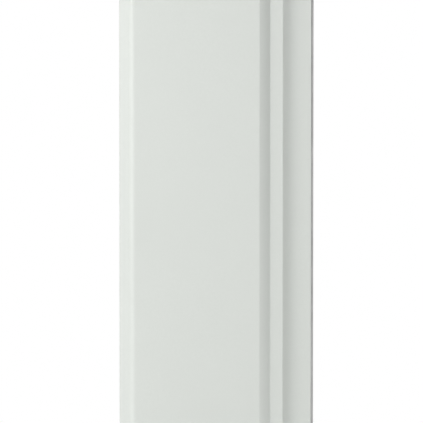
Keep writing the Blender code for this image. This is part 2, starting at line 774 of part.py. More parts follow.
def service_door():
    """The lockable door in the rear moulding, on two small surface hinges, with its lock."""
    width = DOOR_X[1] - DOOR_X[0] - 2 * DOOR_GAP
    height = DOOR_Z[1] - DOOR_Z[0] - 2 * DOOR_GAP
    outline = rectangle(width, height, DOOR_CORNER - DOOR_GAP)
    panel = upright_panel("door_panel", outline, DOOR_X, DOOR_Z, RAISED_Y - WALL, RAISED_Y, "shell_grey")
    x, z = LOCK_XZ
    cut(panel, hole(LOCK_RADIUS + GAP, (x, RAISED_Y - 0.02, z), (0, 1, 0), 0.04))
    leaves = [hinge(level, hinge_z) for level, hinge_z in HINGE_ZS.items()]
    housing, plug, cam = lock()
    door = pivot("door_hinge", (*HINGE_AXIS, sum(DOOR_Z) / 2), [panel, housing, *leaves])
    pivot("lock_turn", (x, RAISED_Y, z), [plug, cam], door)


def hinge(level, middle):
    """A surface hinge: a leaf with two knuckles on the casing, a leaf with one on the door, and a pin."""
    finish = "steel_zinc"
    axis_x, axis_y = HINGE_AXIS
    near, far = RAISED_Y + GAP, RAISED_Y + GAP + 0.0012
    third = HINGE_HEIGHT / 3
    low = middle - HINGE_HEIGHT / 2
    high = middle + HINGE_HEIGHT / 2
    middle_low, middle_high = low + third + GAP / 2, high - third - GAP / 2

    fixed = block(f"hinge_fixed_leaf_{level}", (axis_x - 0.017, near, low), (axis_x, far, high), finish)
    notch_low = (axis_x - 0.0040, 0.0, middle_low - GAP)
    cut(fixed, pocket(notch_low, (0.0, 0.1, middle_high + GAP)))
    knuckles = []
    for start in (low, middle_high + GAP):
        centre = (axis_x, axis_y, start)
        knuckles.append(cylinder("knuckle", KNUCKLE_RADIUS, centre, (0, 0, 1), third - GAP / 2, finish, 20))
    join(fixed, *knuckles)

    corners = (axis_x + 0.0036, near, low), (axis_x + 0.019, far, high)
    moving = block(f"hinge_door_leaf_{level}", *corners, finish)
    centre = (axis_x, axis_y, middle_low)
    knuckle = cylinder("knuckle", KNUCKLE_RADIUS, centre, (0, 0, 1), middle_high - middle_low, finish, 20)
    corners = (axis_x + 0.0005, near, middle_low), (axis_x + 0.006, far, middle_high)
    tongue = block("tongue", *corners, finish)
    join(moving, knuckle, tongue)

    for leaf in (fixed, moving):
        start = (axis_x, axis_y, low - 0.01)
        cut(leaf, hole(PIN_RADIUS + GAP, start, (0, 0, 1), 0.05, 16))
    start = (axis_x, axis_y, low - 0.0008)
    cylinder(f"hinge_pin_{level}", PIN_RADIUS, start, (0, 0, 1), HINGE_HEIGHT + 0.0016, finish, 16)
    return moving


def lock():
    """A quarter-turn lock: a flanged housing, and a plug whose cam turns in behind the casing's edge."""
    x, z = LOCK_XZ
    inner = RAISED_Y - WALL
    flange = WALL + GAP
    bore = PLUG_RADIUS + GAP
    profile = [
        (bore, 0), (LOCK_RADIUS, 0), (LOCK_RADIUS, flange),
        (0.0108, flange), (0.0108, flange + 0.0012), (0.0096, flange + 0.0024), (bore, flange + 0.0024),
    ]
    housing = turned_profile("lock_housing", profile, (x, inner, z), (0, 1, 0), "steel_zinc")
    cam_y = (inner - 0.0016, inner - 0.0004)
    head_y = cam_y[0] - GAP
    plug = cylinder("lock_plug", PLUG_RADIUS, (x, head_y - 0.0005, z), (0, 1, 0), 0.0095, "steel_zinc")
    head = cylinder("head", 0.0078, (x, head_y, z), (0, -1, 0), 0.0015, "steel_zinc", 6)
    slot = pocket((x - 0.0005, RAISED_Y, z - 0.0030), (x + 0.0005, 0.1, z + 0.0030))
    join(plug, head)
    cut(plug, slot)
    outline = [(-0.0095, -0.0135), (0.0095, -0.0135), (0.0065, 0.0135), (-0.0065, 0.0135)]
    cam = upright_panel("lock_cam", outline, (x, x), (z - 0.0065, z - 0.0065), *cam_y, "steel_zinc")
    cut(cam, hole(PLUG_RADIUS + GAP, (x, 0, z), (0, 1, 0), 0.05))
    return housing, plug, cam


# --- Wiring -----

def wiring():
    """The lead clipped inside the casing from the board up to the lamp."""
    lamp = [
        (-0.060, 0.0045, 0.478), (-0.066, 0.0055, 0.505), (-0.090, 0.0020, 0.5230),
        (-0.108, -0.0080, 0.5230), (-0.1105, -0.0150, 0.5330), (-0.1105, -0.0165, 0.560),
        (-0.1105, -0.0165, 0.700), (-0.1105, -0.0165, 1.060), (-0.1105, -0.0165, 1.420),
        (-0.1080, -0.0160, 1.452), (-0.1060, -0.0090, 1.466), (-0.1060, -0.0050, 1.4795),
    ]
    wire("lamp_lead", smooth_route(lamp, 4), 0.0020, "cable_grey")


def main():
    clear_scene()
    casing()
    foot()
    frame()
    coils()
    electronics()
    sounder_and_lamp()
    service_door()
    wiring()


main()
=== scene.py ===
"""Looks for the security gate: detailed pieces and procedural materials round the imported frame, in metres."""

import json
import math
import random

import bmesh
import bpy
from mathutils import Matrix, Vector


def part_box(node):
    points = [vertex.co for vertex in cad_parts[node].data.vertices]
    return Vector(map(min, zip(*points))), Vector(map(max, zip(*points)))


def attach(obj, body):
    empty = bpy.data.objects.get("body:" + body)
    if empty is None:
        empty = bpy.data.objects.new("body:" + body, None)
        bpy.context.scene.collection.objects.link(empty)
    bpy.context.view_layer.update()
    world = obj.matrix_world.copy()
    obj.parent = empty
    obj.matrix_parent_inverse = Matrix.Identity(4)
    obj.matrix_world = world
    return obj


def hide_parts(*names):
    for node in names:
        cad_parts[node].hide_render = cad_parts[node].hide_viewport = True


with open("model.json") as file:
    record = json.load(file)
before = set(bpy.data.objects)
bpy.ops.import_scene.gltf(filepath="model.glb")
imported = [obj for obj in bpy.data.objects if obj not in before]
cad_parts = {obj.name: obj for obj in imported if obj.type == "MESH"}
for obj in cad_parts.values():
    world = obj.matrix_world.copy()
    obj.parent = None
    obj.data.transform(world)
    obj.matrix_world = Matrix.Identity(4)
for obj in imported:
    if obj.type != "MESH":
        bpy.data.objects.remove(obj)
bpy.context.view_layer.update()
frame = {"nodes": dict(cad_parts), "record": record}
nodes = frame["nodes"]

# --- Sizes that several pieces share (the CAD's own, read from its nodes where a node states them) ---

SHELL_LOW, SHELL_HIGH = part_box("front_shell")
REAR_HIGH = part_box("rear_shell")[1]
LENS_LOW, LENS_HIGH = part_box("lamp_lens")
CAP_LOW, CAP_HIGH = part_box("top_cap")
PLINTH_LOW, PLINTH_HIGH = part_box("plinth_cover")
DOOR_LOW, DOOR_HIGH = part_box("door_panel")
HALF_WIDTH = REAR_HIGH.x
RAISED_Y = REAR_HIGH.y
WALL = 0.003
LAND_Y = 0.0281
LEDGE_Y = 0.010
RAISED_EDGE_X = 0.0579
SHOULDER_END_X = 0.0829
LAND_EDGE_X = 0.1076
CORNER_RADIUS = 0.0095
SHOULDER_BULGE = 0.0012
DOOR_MARGIN = 0.001
UPWARDS = (0, 0, 1)
REARWARDS = (0, 1, 0)
MERGE_DISTANCE = 2e-6
SHARP_DEG = 32.0


# --- Outlines ---

def bowed(start, end, bulge, steps):
    """Points on a shallow arch from start to end, bulging to the right of the way."""
    a, b = Vector(start), Vector(end)
    side = Vector(((b - a).y, -(b - a).x)).normalized()
    points = []
    for i in range(steps + 1):
        share = i / steps
        points.append(tuple(a.lerp(b, share) + side * bulge * 4 * share * (1 - share)))
    return points


def circle(radius, steps):
    angles = [2 * math.pi * i / steps for i in range(steps)]
    return [(radius * math.cos(angle), radius * math.sin(angle)) for angle in angles]


def quarter_dome(radius, height, steps, base=0.0):
    """(radius, height) pairs up a dome's side, from its rim at base to just short of its top."""
    angles = [math.pi / 2 * i / steps for i in range(steps)]
    return [(radius * math.cos(angle), base + height * math.sin(angle)) for angle in angles]


def filleted(corners, step_deg=9.0, closed=False):
    """A path through corners (x, y, radius), each rounded to its radius, whatever its sign."""
    points = []
    count = len(corners)
    for i, (x, y, radius) in enumerate(corners):
        radius = abs(radius)
        at_end = not closed and i in (0, count - 1)
        if at_end or radius <= 0:
            points.append((x, y))
            continue
        here = Vector((x, y))
        back = (Vector(corners[i - 1][:2]) - here).normalized()
        on = (Vector(corners[(i + 1) % count][:2]) - here).normalized()
        opening = back.angle(on)
        if opening > math.radians(178):
            points.append((x, y))
            continue
        reach = radius / math.tan(opening / 2)
        centre = here + (back + on).normalized() * radius / math.sin(opening / 2)
        first = here + back * reach - centre
        last = here + on * reach - centre
        turn = first.angle_signed(last)
        steps = max(2, round(abs(math.degrees(turn)) / step_deg))
        for k in range(steps + 1):
            angle = turn * k / steps
            c, s = math.cos(angle), -math.sin(angle)
            points.append((centre.x + first.x * c - first.y * s, centre.y + first.x * s + first.y * c))
    return points


def turned(points):
    return [(-x, -y) for x, y in points]


def offset(points, distance, closed=True):
    """The path moved by distance to the left of the way, with mitred corners."""
    moved = []
    count = len(points)
    for i, point in enumerate(points):
        normals = []
        for a, b in ((i - 1, i), (i, i + 1)):
            if closed or (a >= 0 and b < count):
                way = Vector(points[b % count]) - Vector(points[a % count])
                if way.length > 1e-9:
                    normals.append(Vector((-way.y, way.x)).normalized())
        middle = sum(normals, Vector((0, 0))).normalized()
        moved.append(tuple(Vector(point) + middle * distance / max(0.3, middle.dot(normals[0]))))
    return moved


def rounded_rectangle(low, high, radius, step_deg=9.0):
    (x0, y0), (x1, y1) = low, high
    return filleted([(x0, y0, radius), (x1, y0, radius), (x1, y1, radius), (x0, y1, radius)], step_deg, True)


def face_corners(wall_end, ledge_end, land_edge=0.0009):
    """One moulding's outer face in plan, from its plain wall to its ledge's end.

    Each corner is (x, y, radius). A radius below zero marks an inner corner.
    """
    shoulder = bowed((RAISED_EDGE_X, -RAISED_Y), (SHOULDER_END_X, -LAND_Y), SHOULDER_BULGE, 10)
    return [
        (-HALF_WIDTH, wall_end, 0), (-HALF_WIDTH, -RAISED_Y, CORNER_RADIUS),
        (*shoulder[0], 0.0030), *[(x, y, 0) for x, y in shoulder[1:-1]], (*shoulder[-1], -0.0035),
        (LAND_EDGE_X, -LAND_Y, land_edge), (LAND_EDGE_X, -LEDGE_Y, -0.005), (ledge_end, -LEDGE_Y, 0),
    ]


def drawn_in(corners, distance, closed=True):
    """The corners moved inwards by distance: outer radii shrink, inner ones grow."""
    moved = offset([(x, y) for x, y, _ in corners], distance, closed)
    radii = []
    for _, _, radius in corners:
        if radius > 0:
            radius = max(radius - distance, 0.0002)
        elif radius < 0:
            radius = max(radius - distance, -0.0085)
        radii.append(radius)
    return [(*point, radius) for point, radius in zip(moved, radii)]


def column_outline(inset=0.0, land_edge=0.0009):
    """The whole column in plan, both mouldings together, drawn in by inset."""
    half = face_corners(LEDGE_Y, HALF_WIDTH - 0.006, land_edge)
    corners = half + [(-x, -y, radius) for x, y, radius in half]
    return filleted(drawn_in(corners, inset), closed=True)


# --- Meshes ---

def new_object(name, mesh):
    obj = bpy.data.objects.new(name, mesh)
    bpy.context.scene.collection.objects.link(obj)
    return obj


def from_bmesh(name, bm, sharp_deg=SHARP_DEG):
    bmesh.ops.recalc_face_normals(bm, faces=bm.faces)
    mesh = bpy.data.meshes.new(name)
    bm.to_mesh(mesh)
    bm.free()
    mesh.shade_smooth()
    mesh.set_sharp_from_angle(angle=math.radians(sharp_deg))
    return new_object(name, mesh)


def loft(name, rings, loop=False, sharp_deg=SHARP_DEG, thin=False):
    """Rings of 3-D points with equally many points, joined in order.

    The ends of a thin wall are closed by quads from its one side to its other.
    """
    bm = bmesh.new()
    made = [[bm.verts.new(p) for p in ring] for ring in rings]
    pairs = list(zip(made, made[1:])) + ([(made[-1], made[0])] if loop else [])
    for a, b in pairs:
        for i in range(len(a)):
            j = (i + 1) % len(a)
            bm.faces.new((a[i], a[j], b[j], b[i]))
    for ring in () if loop else (made[0], made[-1]):
        if thin:
            for i in range(len(ring) // 2 - 1):
                bm.faces.new((ring[i], ring[i + 1], ring[-2 - i], ring[-1 - i]))
        else:
            bm.faces.new(ring)
    return from_bmesh(name, bm, sharp_deg)


def at_height(outline, z):
    return [(x, y, z) for x, y in outline]


def edge_levels(bottom, top, low_radius, high_radius, steps=4):
    """(height, inset) pairs for a prism whose bottom and top rims are rounded."""
    sweep = [math.pi / 2 * i / steps for i in range(steps + 1)]
    low = [(bottom + low_radius * (1 - math.cos(a)), low_radius * (1 - math.sin(a))) for a in sweep]
    high = [(top - high_radius * (1 - math.sin(a)), high_radius * (1 - math.cos(a))) for a in sweep]
    return low + high


def soft_prism(name, outline, bottom, top, low_radius=0.0003, high_radius=0.0003, bands=(), thin=False):
    """A vertical prism with rounded rims. Extra rings at the bands' heights keep later cuts local."""
    levels = edge_levels(bottom, top, low_radius, high_radius)
    half = len(levels) // 2
    levels = levels[:half] + [(z, 0.0) for z in bands] + levels[half:]
    return loft(name, [at_height(offset(outline, inset), z) for z, inset in levels], thin=thin)


def placed_on(centre, axis):
    """The matrix that puts the origin at centre and turns +Z to the axis."""
    turn = Vector(UPWARDS).rotation_difference(Vector(axis)).to_matrix().to_4x4()
    return Matrix.Translation(centre) @ turn


def lathe(name, profile, centre, axis, steps):
    """A closed profile of (radius, height) pairs turned about the axis through centre."""
    bm = bmesh.new()
    rings = []
    for radius, height in profile:
        if radius <= 1e-7:
            rings.append([bm.verts.new((0, 0, height))])
        else:
            rings.append([bm.verts.new((x, y, height)) for x, y in circle(radius, steps)])
    pairs = list(zip(rings, rings[1:]))
    if profile[0][0] > 1e-7:
        pairs.append((rings[-1], rings[0]))
    for a, b in pairs:
        for i in range(steps):
            j = (i + 1) % steps
            corners = [a[i % len(a)], a[j % len(a)], b[j % len(b)], b[i % len(b)]]
            corners = list(dict.fromkeys(corners))
            if len(corners) > 2:
                bm.faces.new(corners)
    bm.transform(placed_on(centre, axis))
    return from_bmesh(name, bm)


def box_mesh(name, low, high, bevel=0.0004, segments=2):
    """A box with rounded edges."""
    bm = bmesh.new()
    bmesh.ops.create_cube(bm, size=1.0)
    size = Vector(high) - Vector(low)
    bm.transform(Matrix.Translation((Vector(low) + Vector(high)) / 2) @ Matrix.Diagonal((*size, 1)))
    if bevel:
        rounding = {"segments": segments, "profile": 0.5, "affect": "EDGES", "clamp_overlap": True}
        bmesh.ops.bevel(bm, geom=list(bm.edges), offset=bevel, **rounding)
    return from_bmesh(name, bm)


def apply_modifiers(obj):
    bpy.context.view_layer.update()
    graph = bpy.context.evaluated_depsgraph_get()
    mesh = bpy.data.meshes.new_from_object(obj.evaluated_get(graph))
    obj.modifiers.clear()
    obj.data = mesh
    return obj


def clean(mesh):
    """Joins points that lie on each other, and drops faces without area."""
    bm = bmesh.new()
    bm.from_mesh(mesh)
    bmesh.ops.remove_doubles(bm, verts=bm.verts, dist=MERGE_DISTANCE)
    bmesh.ops.dissolve_degenerate(bm, edges=bm.edges, dist=MERGE_DISTANCE)
    bm.to_mesh(mesh)
    bm.free()


def cut(obj, cutters):
    """Takes the cutters, which don't touch each other, out of obj."""
    joined = merge("cutters", cutters)
    modifier = obj.modifiers.new("cut", "BOOLEAN")
    modifier.operation = "DIFFERENCE"
    modifier.solver = "EXACT"
    modifier.object = joined
    apply_modifiers(obj)
    bpy.data.objects.remove(joined, do_unlink=True)
    clean(obj.data)
    obj.data.shade_smooth()
    obj.data.set_sharp_from_angle(angle=math.radians(SHARP_DEG))
    return obj


def merge(name, objects):
    """One object from several. They keep their materials."""
    bm = bmesh.new()
    materials = []
    for obj in objects:
        start = len(bm.faces)
        mesh = obj.data.copy()
        mesh.transform(obj.matrix_world)
        bm.from_mesh(mesh)
        bpy.data.meshes.remove(mesh)
        bm.faces.ensure_lookup_table()
        own = list(obj.data.materials)
        for m in own:
            if m not in materials:
                materials.append(m)
        for face in bm.faces[start:]:
            if own:
                face.material_index = materials.index(own[min(face.material_index, len(own) - 1)])
        bpy.data.objects.remove(obj, do_unlink=True)
    mesh = bpy.data.meshes.new(name)
    bm.to_mesh(mesh)
    bm.free()
    for m in materials:
        mesh.materials.append(m)
    return new_object(name, mesh)


def flat_faces_stay_flat(obj):
    """Weighted normals keep wide flat faces flat beside small fillets."""
    modifier = obj.modifiers.new("normals", "WEIGHTED_NORMAL")
    modifier.keep_sharp = True
    modifier.weight = 90


def finish_piece(obj, look, body, replaces=()):
    """Gives a piece its look as its one material, keeps its flat faces flat, attaches it to its body and hides
    what it replaces.
    """
    obj.data.materials.clear()
    obj.data.materials.append(LOOKS[look])
    flat_faces_stay_flat(obj)
    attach(obj, body)
    if replaces:
        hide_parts(*replaces)


# --- Materials ---

class Graph:
    """A material's node tree, built in few words."""

    def __init__(self, name):
        self.material = bpy.data.materials.new(name)
        self.material.use_nodes = True
        self.tree = self.material.node_tree
        self.shader = self.tree.nodes["Principled BSDF"]
        self.place = self.add("ShaderNodeTexCoord").outputs["Object"]

    def add(self, kind, **settings):
        node = self.tree.nodes.new(kind)
        for key, value in settings.items():
            setattr(node, key, value)
        return node

    def link(self, source, target):
        self.tree.links.new(source, target)

    def plug(self, socket, value):
        if isinstance(value, bpy.types.NodeSocket):
            self.link(value, socket)
        else:
            socket.default_value = value

    def stretched(self, scale):
        """The object's own coordinates, scaled differently along each axis."""
        mapping = self.add("ShaderNodeMapping")
        mapping.inputs["Scale"].default_value = scale
        self.link(self.place, mapping.inputs["Vector"])
        return mapping.outputs["Vector"]

    def noise(self, scale, detail=2.0, roughness=0.5, vector=None):
        node = self.add("ShaderNodeTexNoise")
        node.inputs["Scale"].default_value = scale
        node.inputs["Detail"].default_value = detail
        node.inputs["Roughness"].default_value = roughness
        self.link(vector or self.place, node.inputs["Vector"])
        return node.outputs["Fac"]

    def cells(self, scale, output="Distance"):
        node = self.add("ShaderNodeTexVoronoi", feature="F1")
        node.inputs["Scale"].default_value = scale
        self.link(self.place, node.inputs["Vector"])
        return node.outputs[output]

    def spread(self, value, low, high, to_low=0.0, to_high=1.0, smooth=False):
        """value, mapped from one range to another and kept inside it."""
        node = self.add("ShaderNodeMapRange", interpolation_type="SMOOTHSTEP" if smooth else "LINEAR")
        for key, number in (("From Min", low), ("From Max", high), ("To Min", to_low), ("To Max", to_high)):
            node.inputs[key].default_value = number
        self.link(value, node.inputs["Value"])
        return node.outputs["Result"]

    def math(self, operation, a, b=0.0):
        node = self.add("ShaderNodeMath", operation=operation)
        self.plug(node.inputs[0], a)
        self.plug(node.inputs[1], b)
        return node.outputs[0]

    def axis(self, letter, vector=None):
        node = self.add("ShaderNodeSeparateXYZ")
        self.link(vector or self.place, node.inputs[0])
        return node.outputs[letter]

    def mix(self, share, a, b):
        node = self.add("ShaderNodeMix", data_type="RGBA")
        colours = [s for s in node.inputs if s.type == "RGBA"]
        self.plug(node.inputs["Factor"], share)
        self.plug(colours[0], a)
        self.plug(colours[1], b)
        return [s for s in node.outputs if s.type == "RGBA"][0]

    def bump(self, height, distance):
        node = self.add("ShaderNodeBump")
        node.inputs["Strength"].default_value = 1.0
        node.inputs["Distance"].default_value = distance
        self.link(height, node.inputs["Height"])
        return node.outputs["Normal"]

    def done(self, colour, roughness=None, normal=None, **plain):
        """The material, with its linked values and, by socket name, its plain ones."""
        for key, value in (("Base Color", colour), ("Roughness", roughness), ("Normal", normal)):
            if value is not None:
                self.plug(self.shader.inputs[key], value)
        for key, value in plain.items():
            self.shader.inputs[key.replace("_", " ")].default_value = value
        return self.material


def shade(colour, factor):
    return tuple(min(1.0, c * factor) for c in colour) + (1.0,)


def moulded(name, colour, roughness=0.45, mottle=0.03, grain=900.0, relief=0.00002, scuffs=False, gloss=0.5):
    """Injection-moulded plastic: faint mottling, a fine grain and, low down, the marks of use."""
    g = Graph(name)
    clouds = g.noise(3.5, 3.0)
    flecks = g.noise(grain / 4, 2.0, 0.6)
    pits = g.noise(grain, 1.0)
    tone = g.mix(g.spread(clouds, 0.3, 0.7), shade(colour, 1 - mottle), shade(colour, 1 + mottle))
    tone = g.mix(g.spread(flecks, 0.35, 0.65, 0.0, 0.5), tone, shade(colour, 1 - 1.2 * mottle))
    rough = g.spread(g.math("ADD", flecks, clouds), 0.6, 1.4, roughness - 0.05, roughness + 0.06)
    if scuffs:
        height = g.spread(g.axis("Z"), 0.02, 0.42, 1.0, 0.0, smooth=True)
        streaks = g.noise(1.0, 5.0, 0.7, g.stretched((26.0, 26.0, 140.0)))
        rubbed = g.math("MULTIPLY", g.spread(streaks, 0.60, 0.72), height)
        near_floor = g.spread(g.axis("Z"), 0.0, 0.16, 0.55, 0.0, smooth=True)
        dust = g.math("MULTIPLY", near_floor, g.noise(30.0, 4.0))
        tone = g.mix(g.math("MULTIPLY", rubbed, 0.35), tone, (0.25, 0.25, 0.25, 1.0))
        tone = g.mix(g.math("MULTIPLY", dust, 0.5), tone, (0.42, 0.40, 0.36, 1.0))
        rough = g.math("ADD", rough, g.math("MULTIPLY", rubbed, 0.12))
    normal = g.bump(pits, relief)
    return g.done(tone, rough, normal, Specular_IOR_Level=gloss)


def plated(name, colour, roughness=0.32, stretch=(60.0, 60.0, 900.0), spangle=350.0, stains=0.15):
    """Plated or rolled metal: faint crystals, fine lines along one axis, and dull patches."""
    g = Graph(name)
    lines = g.noise(1.0, 3.0, 0.6, g.stretched(stretch))
    crystals = g.cells(spangle, "Color")
    patches = g.noise(45.0, 4.0)
    tone = g.mix(g.spread(g.axis("X", crystals), 0.0, 1.0), shade(colour, 0.90), shade(colour, 1.06))
    tone = g.mix(g.spread(patches, 0.45, 0.75, 0.0, stains), tone, shade(colour, 0.55))
    rough = g.spread(g.math("ADD", lines, patches), 0.7, 1.3, roughness - 0.08, roughness + 0.12)
    return g.done(tone, rough, g.bump(lines, 0.00003), Metallic=1.0)


def powder_coat(name, colour, roughness=0.45):
    """Baked powder paint: a fine orange-peel surface with small rubbed places."""
    g = Graph(name)
    peel = g.noise(420.0, 1.0)
    worn = g.spread(g.noise(70.0, 6.0, 0.7), 0.64, 0.70)
    tone = g.mix(g.spread(g.noise(8.0, 3.0), 0.3, 0.7), shade(colour, 0.92), shade(colour, 1.08))
    tone = g.mix(g.math("MULTIPLY", worn, 0.5), tone, (0.40, 0.40, 0.40, 1.0))
    rough = g.spread(peel, 0.3, 0.7, roughness - 0.06, roughness + 0.08)
    return g.done(tone, rough, g.bump(peel, 0.00008))


def rubber(name, colour, roughness=0.75):
    g = Graph(name)
    fine = g.noise(1400.0, 2.0)
    bloom = g.noise(24.0, 4.0)
    tone = g.mix(g.spread(bloom, 0.35, 0.7), shade(colour, 0.88), shade(colour, 1.15))
    return g.done(tone, g.spread(fine, 0.3, 0.7, roughness - 0.08, roughness + 0.08), g.bump(fine, 0.00003))


def woven(name, colour):
    """Fine black acoustic cloth: crossing threads at 0.8 mm."""
    g = Graph(name)
    threads = []
    for letter in ("X", "Z"):
        wave = g.math("SINE", g.math("MULTIPLY", g.axis(letter), 2 * math.pi / 0.0008))
        threads.append(g.spread(wave, -1.0, 1.0))
    weave = g.math("MAXIMUM", *threads)
    tone = g.mix(weave, shade(colour, 0.5), shade(colour, 1.5))
    return g.done(tone, g.spread(g.noise(500.0), 0.3, 0.7, 0.75, 0.9), g.bump(weave, 0.0001))


def tinted_lens(name, colour):
    """Clear red plastic, lightly frosted, with a faint cloudiness."""
    g = Graph(name)
    frost = g.noise(260.0, 2.0)
    cloud = g.noise(16.0, 3.0)
    tone = g.mix(g.spread(cloud, 0.3, 0.7), shade(colour, 0.88), shade(colour, 1.12))
    rough = g.spread(frost, 0.3, 0.7, 0.12, 0.22)
    return g.done(tone, rough, g.bump(frost, 0.00001), Transmission_Weight=0.55, IOR=1.49)


def wound_tape(name, colour):
    """A coil bundle wrapped in tape: overlapping turns, each with painted shade along the edge where the turns
    overlap.
    """
    g = Graph(name)
    wave = g.add("ShaderNodeTexWave", wave_type="BANDS", bands_direction="DIAGONAL", wave_profile="SAW")
    wave.inputs["Scale"].default_value = 26.0
    wave.inputs["Distortion"].default_value = 0.6
    g.link(g.place, wave.inputs["Vector"])
    turns = wave.outputs["Fac"]
    # Painted shade: each turn runs from 0.45 of the tape's colour at its overlapped edge up to its full colour,
    # over a quarter of the turn.
    tone = g.mix(g.spread(turns, 0.0, 0.25), shade(colour, 0.45), shade(colour, 1.0))
    tone = g.mix(g.spread(g.noise(220.0, 3.0), 0.35, 0.7, 0.0, 0.4), tone, shade(colour, 1.3))
    return g.done(tone, g.spread(turns, 0.0, 1.0, 0.55, 0.30), g.bump(turns, 0.0003), Metallic=0.55)


def circuit_board(name, colour):
    """Green solder mask over copper tracks, with plated holes in a grid."""
    g = Graph(name)
    brick = g.add("ShaderNodeTexBrick", offset=0.37, squash=1.0)
    sizes = {"Mortar Size": 0.00045, "Mortar Smooth": 0.1, "Brick Width": 0.017, "Row Height": 0.0026}
    for key, value in {"Scale": 1.0, **sizes}.items():
        brick.inputs[key].default_value = value
    swap = g.add("ShaderNodeCombineXYZ")
    g.link(g.axis("X"), swap.inputs["X"])
    g.link(g.axis("Z"), swap.inputs["Y"])
    g.link(swap.outputs[0], brick.inputs["Vector"])
    tracks = brick.outputs["Fac"]
    tone = g.mix(tracks, shade(colour, 1.0), shade(colour, 1.9))
    holes = g.spread(g.cells(230.0), 0.10, 0.13, 1.0, 0.0)
    tone = g.mix(g.math("MULTIPLY", holes, 0.8), tone, (0.55, 0.50, 0.30, 1.0))
    tone = g.mix(g.spread(g.noise(60.0, 3.0), 0.4, 0.7, 0.0, 0.25), tone, shade(colour, 0.7))
    return g.done(tone, g.spread(g.noise(300.0, 2.0), 0.3, 0.7, 0.28, 0.42), g.bump(tracks, 0.00004))


GREY = (0.700, 0.729, 0.692)
LOOKS = {
    "shell_grey": moulded("casing_plastic", GREY, 0.46, 0.016, scuffs=True),
    "lamp_red": tinted_lens("lens_red", (0.72, 0.035, 0.030)),
    "rubber_dark": rubber("seam_rubber", (0.42, 0.42, 0.42)),
    "steel_zinc": plated("zinc_plate", (0.66, 0.66, 0.63), 0.34),
    "steel_painted": powder_coat("dark_powder_coat", (0.15, 0.16, 0.17)),
    "aluminium": plated("rolled_aluminium", (0.78, 0.79, 0.80), 0.36, (900.0, 900.0, 14.0), 900.0, 0.08),
    "screen_cloth": woven("grille_cloth", (0.030, 0.030, 0.032)),
    "former_black": moulded("former_plastic", (0.035, 0.035, 0.037), 0.55, 0.10, 600.0, 0.00005),
    "coil_copper": wound_tape("wound_coil", (0.55, 0.24, 0.10)),
    "board_green": circuit_board("board_mask", (0.012, 0.13, 0.050)),
    "plastic_black": moulded("black_plastic", (0.028, 0.028, 0.030), 0.42, 0.08, 1200.0, 0.00002),
    "plastic_white": moulded("white_plastic", (0.78, 0.78, 0.75), 0.38, 0.02, 1200.0, 0.00001),
    "capacitor_blue": moulded("capacitor_sleeve", (0.02, 0.05, 0.20), 0.28, 0.06, 500.0, 0.00001, gloss=0.6),
    "cable_grey": rubber("cable_sheath", (0.10, 0.10, 0.11), 0.55),
    "button_red": moulded("button_plastic", (0.52, 0.03, 0.025), 0.34, 0.04, 1200.0, 0.00001, gloss=0.55),
}
SLOT_OF = {entry["node"]: entry["material_slot"] for entry in frame["record"]["subparts"]}
for node_name, node in nodes.items():
    node.data.materials.clear()
    node.data.materials.append(LOOKS[SLOT_OF[node_name]])


# --- Casing ---

SLOT_LIP = 0.0006
SOUND_X, SOUND_LOW, SOUND_HIGH = -0.020, 1.388, 1.444
SOUND_SLOTS = [(SOUND_X, 1.396 + 0.008 * row, 0.060, 0.0030, RAISED_Y) for row in range(6)]
VENT_SLOTS = [(0.138, 0.170 + 0.009 * row, 0.036, 0.0035, LEDGE_Y) for row in range(8)]
SCREW_X, SCREW_ZS = -0.135, (0.040, 0.070)
# Heights of extra rings on the casing, between its slots, screws and door, so that each cut stays local.
CUT_BANDS = (0.033, 0.047, 0.063, 0.077, 0.162, 0.240, 0.264, 0.496, 0.900, 1.388, 1.444)


def slot_cutter(x, z, width, height, face, radius=None, lip=SLOT_LIP, depth=0.008):
    """A cutter for a slot in a front face at y = -face, with round ends and a chamfered lip."""
    half = (width / 2, height / 2)
    outline = rounded_rectangle((-half[0], -half[1]), half, radius or height / 2 - 0.0001, 18.0)
    rings = []
    for y, grow in ((-face - 0.004, lip), (-face, lip), (-face + lip, 0.0), (-face + depth, 0.0)):
        rings.append([(x + px, y, z + pz) for px, pz in offset(outline, -grow)])
    return loft("slot", rings)


def half_turn(obj):
    obj.data.transform(Matrix.Rotation(math.pi, 4, "Z"))
    return obj


def casing(name):
    """The front moulding, with its slots and screw holes."""
    corners = face_corners(SHELL_HIGH.y, SHELL_HIGH.x)
    outer = filleted(corners)
    outline = outer + filleted(drawn_in(corners, WALL, closed=False))[::-1]
    ends = (0, len(outer) - 1, len(outer), len(outline) - 1)
    outline = filleted([(*p, 0.0008 if i in ends else 0) for i, p in enumerate(outline)], 22.5, True)
    shell = soft_prism(name, outline, SHELL_LOW.z, SHELL_HIGH.z, 0.0004, 0.0006, bands=CUT_BANDS, thin=True)
    cutters = [slot_cutter(*slot) for slot in SOUND_SLOTS + VENT_SLOTS]
    for z in SCREW_ZS:
        profile = [(0, 0), (0.004, 0), (0.004, 0.0068), (0.0022, 0.0068), (0.0022, 0.012), (0, 0.012)]
        cutters.append(lathe("hole", profile, (SCREW_X, -RAISED_Y - 0.005, z), REARWARDS, 24))
    return cut(shell, cutters)


front = casing("casing_front")
finish_piece(front, "shell_grey", "column", ["front_shell"])

rear = half_turn(casing("casing_rear"))
door_size = ((DOOR_HIGH.x - DOOR_LOW.x) / 2 + DOOR_MARGIN, (DOOR_HIGH.z - DOOR_LOW.z) / 2 + DOOR_MARGIN)
door_centre = ((DOOR_HIGH.x + DOOR_LOW.x) / 2, (DOOR_HIGH.z + DOOR_LOW.z) / 2)
opening = slot_cutter(
    -door_centre[0], door_centre[1], 2 * door_size[0], 2 * door_size[1], RAISED_Y, radius=0.006, lip=0.0004)
cut(rear, [half_turn(opening)])
finish_piece(rear, "shell_grey", "column", ["rear_shell"])

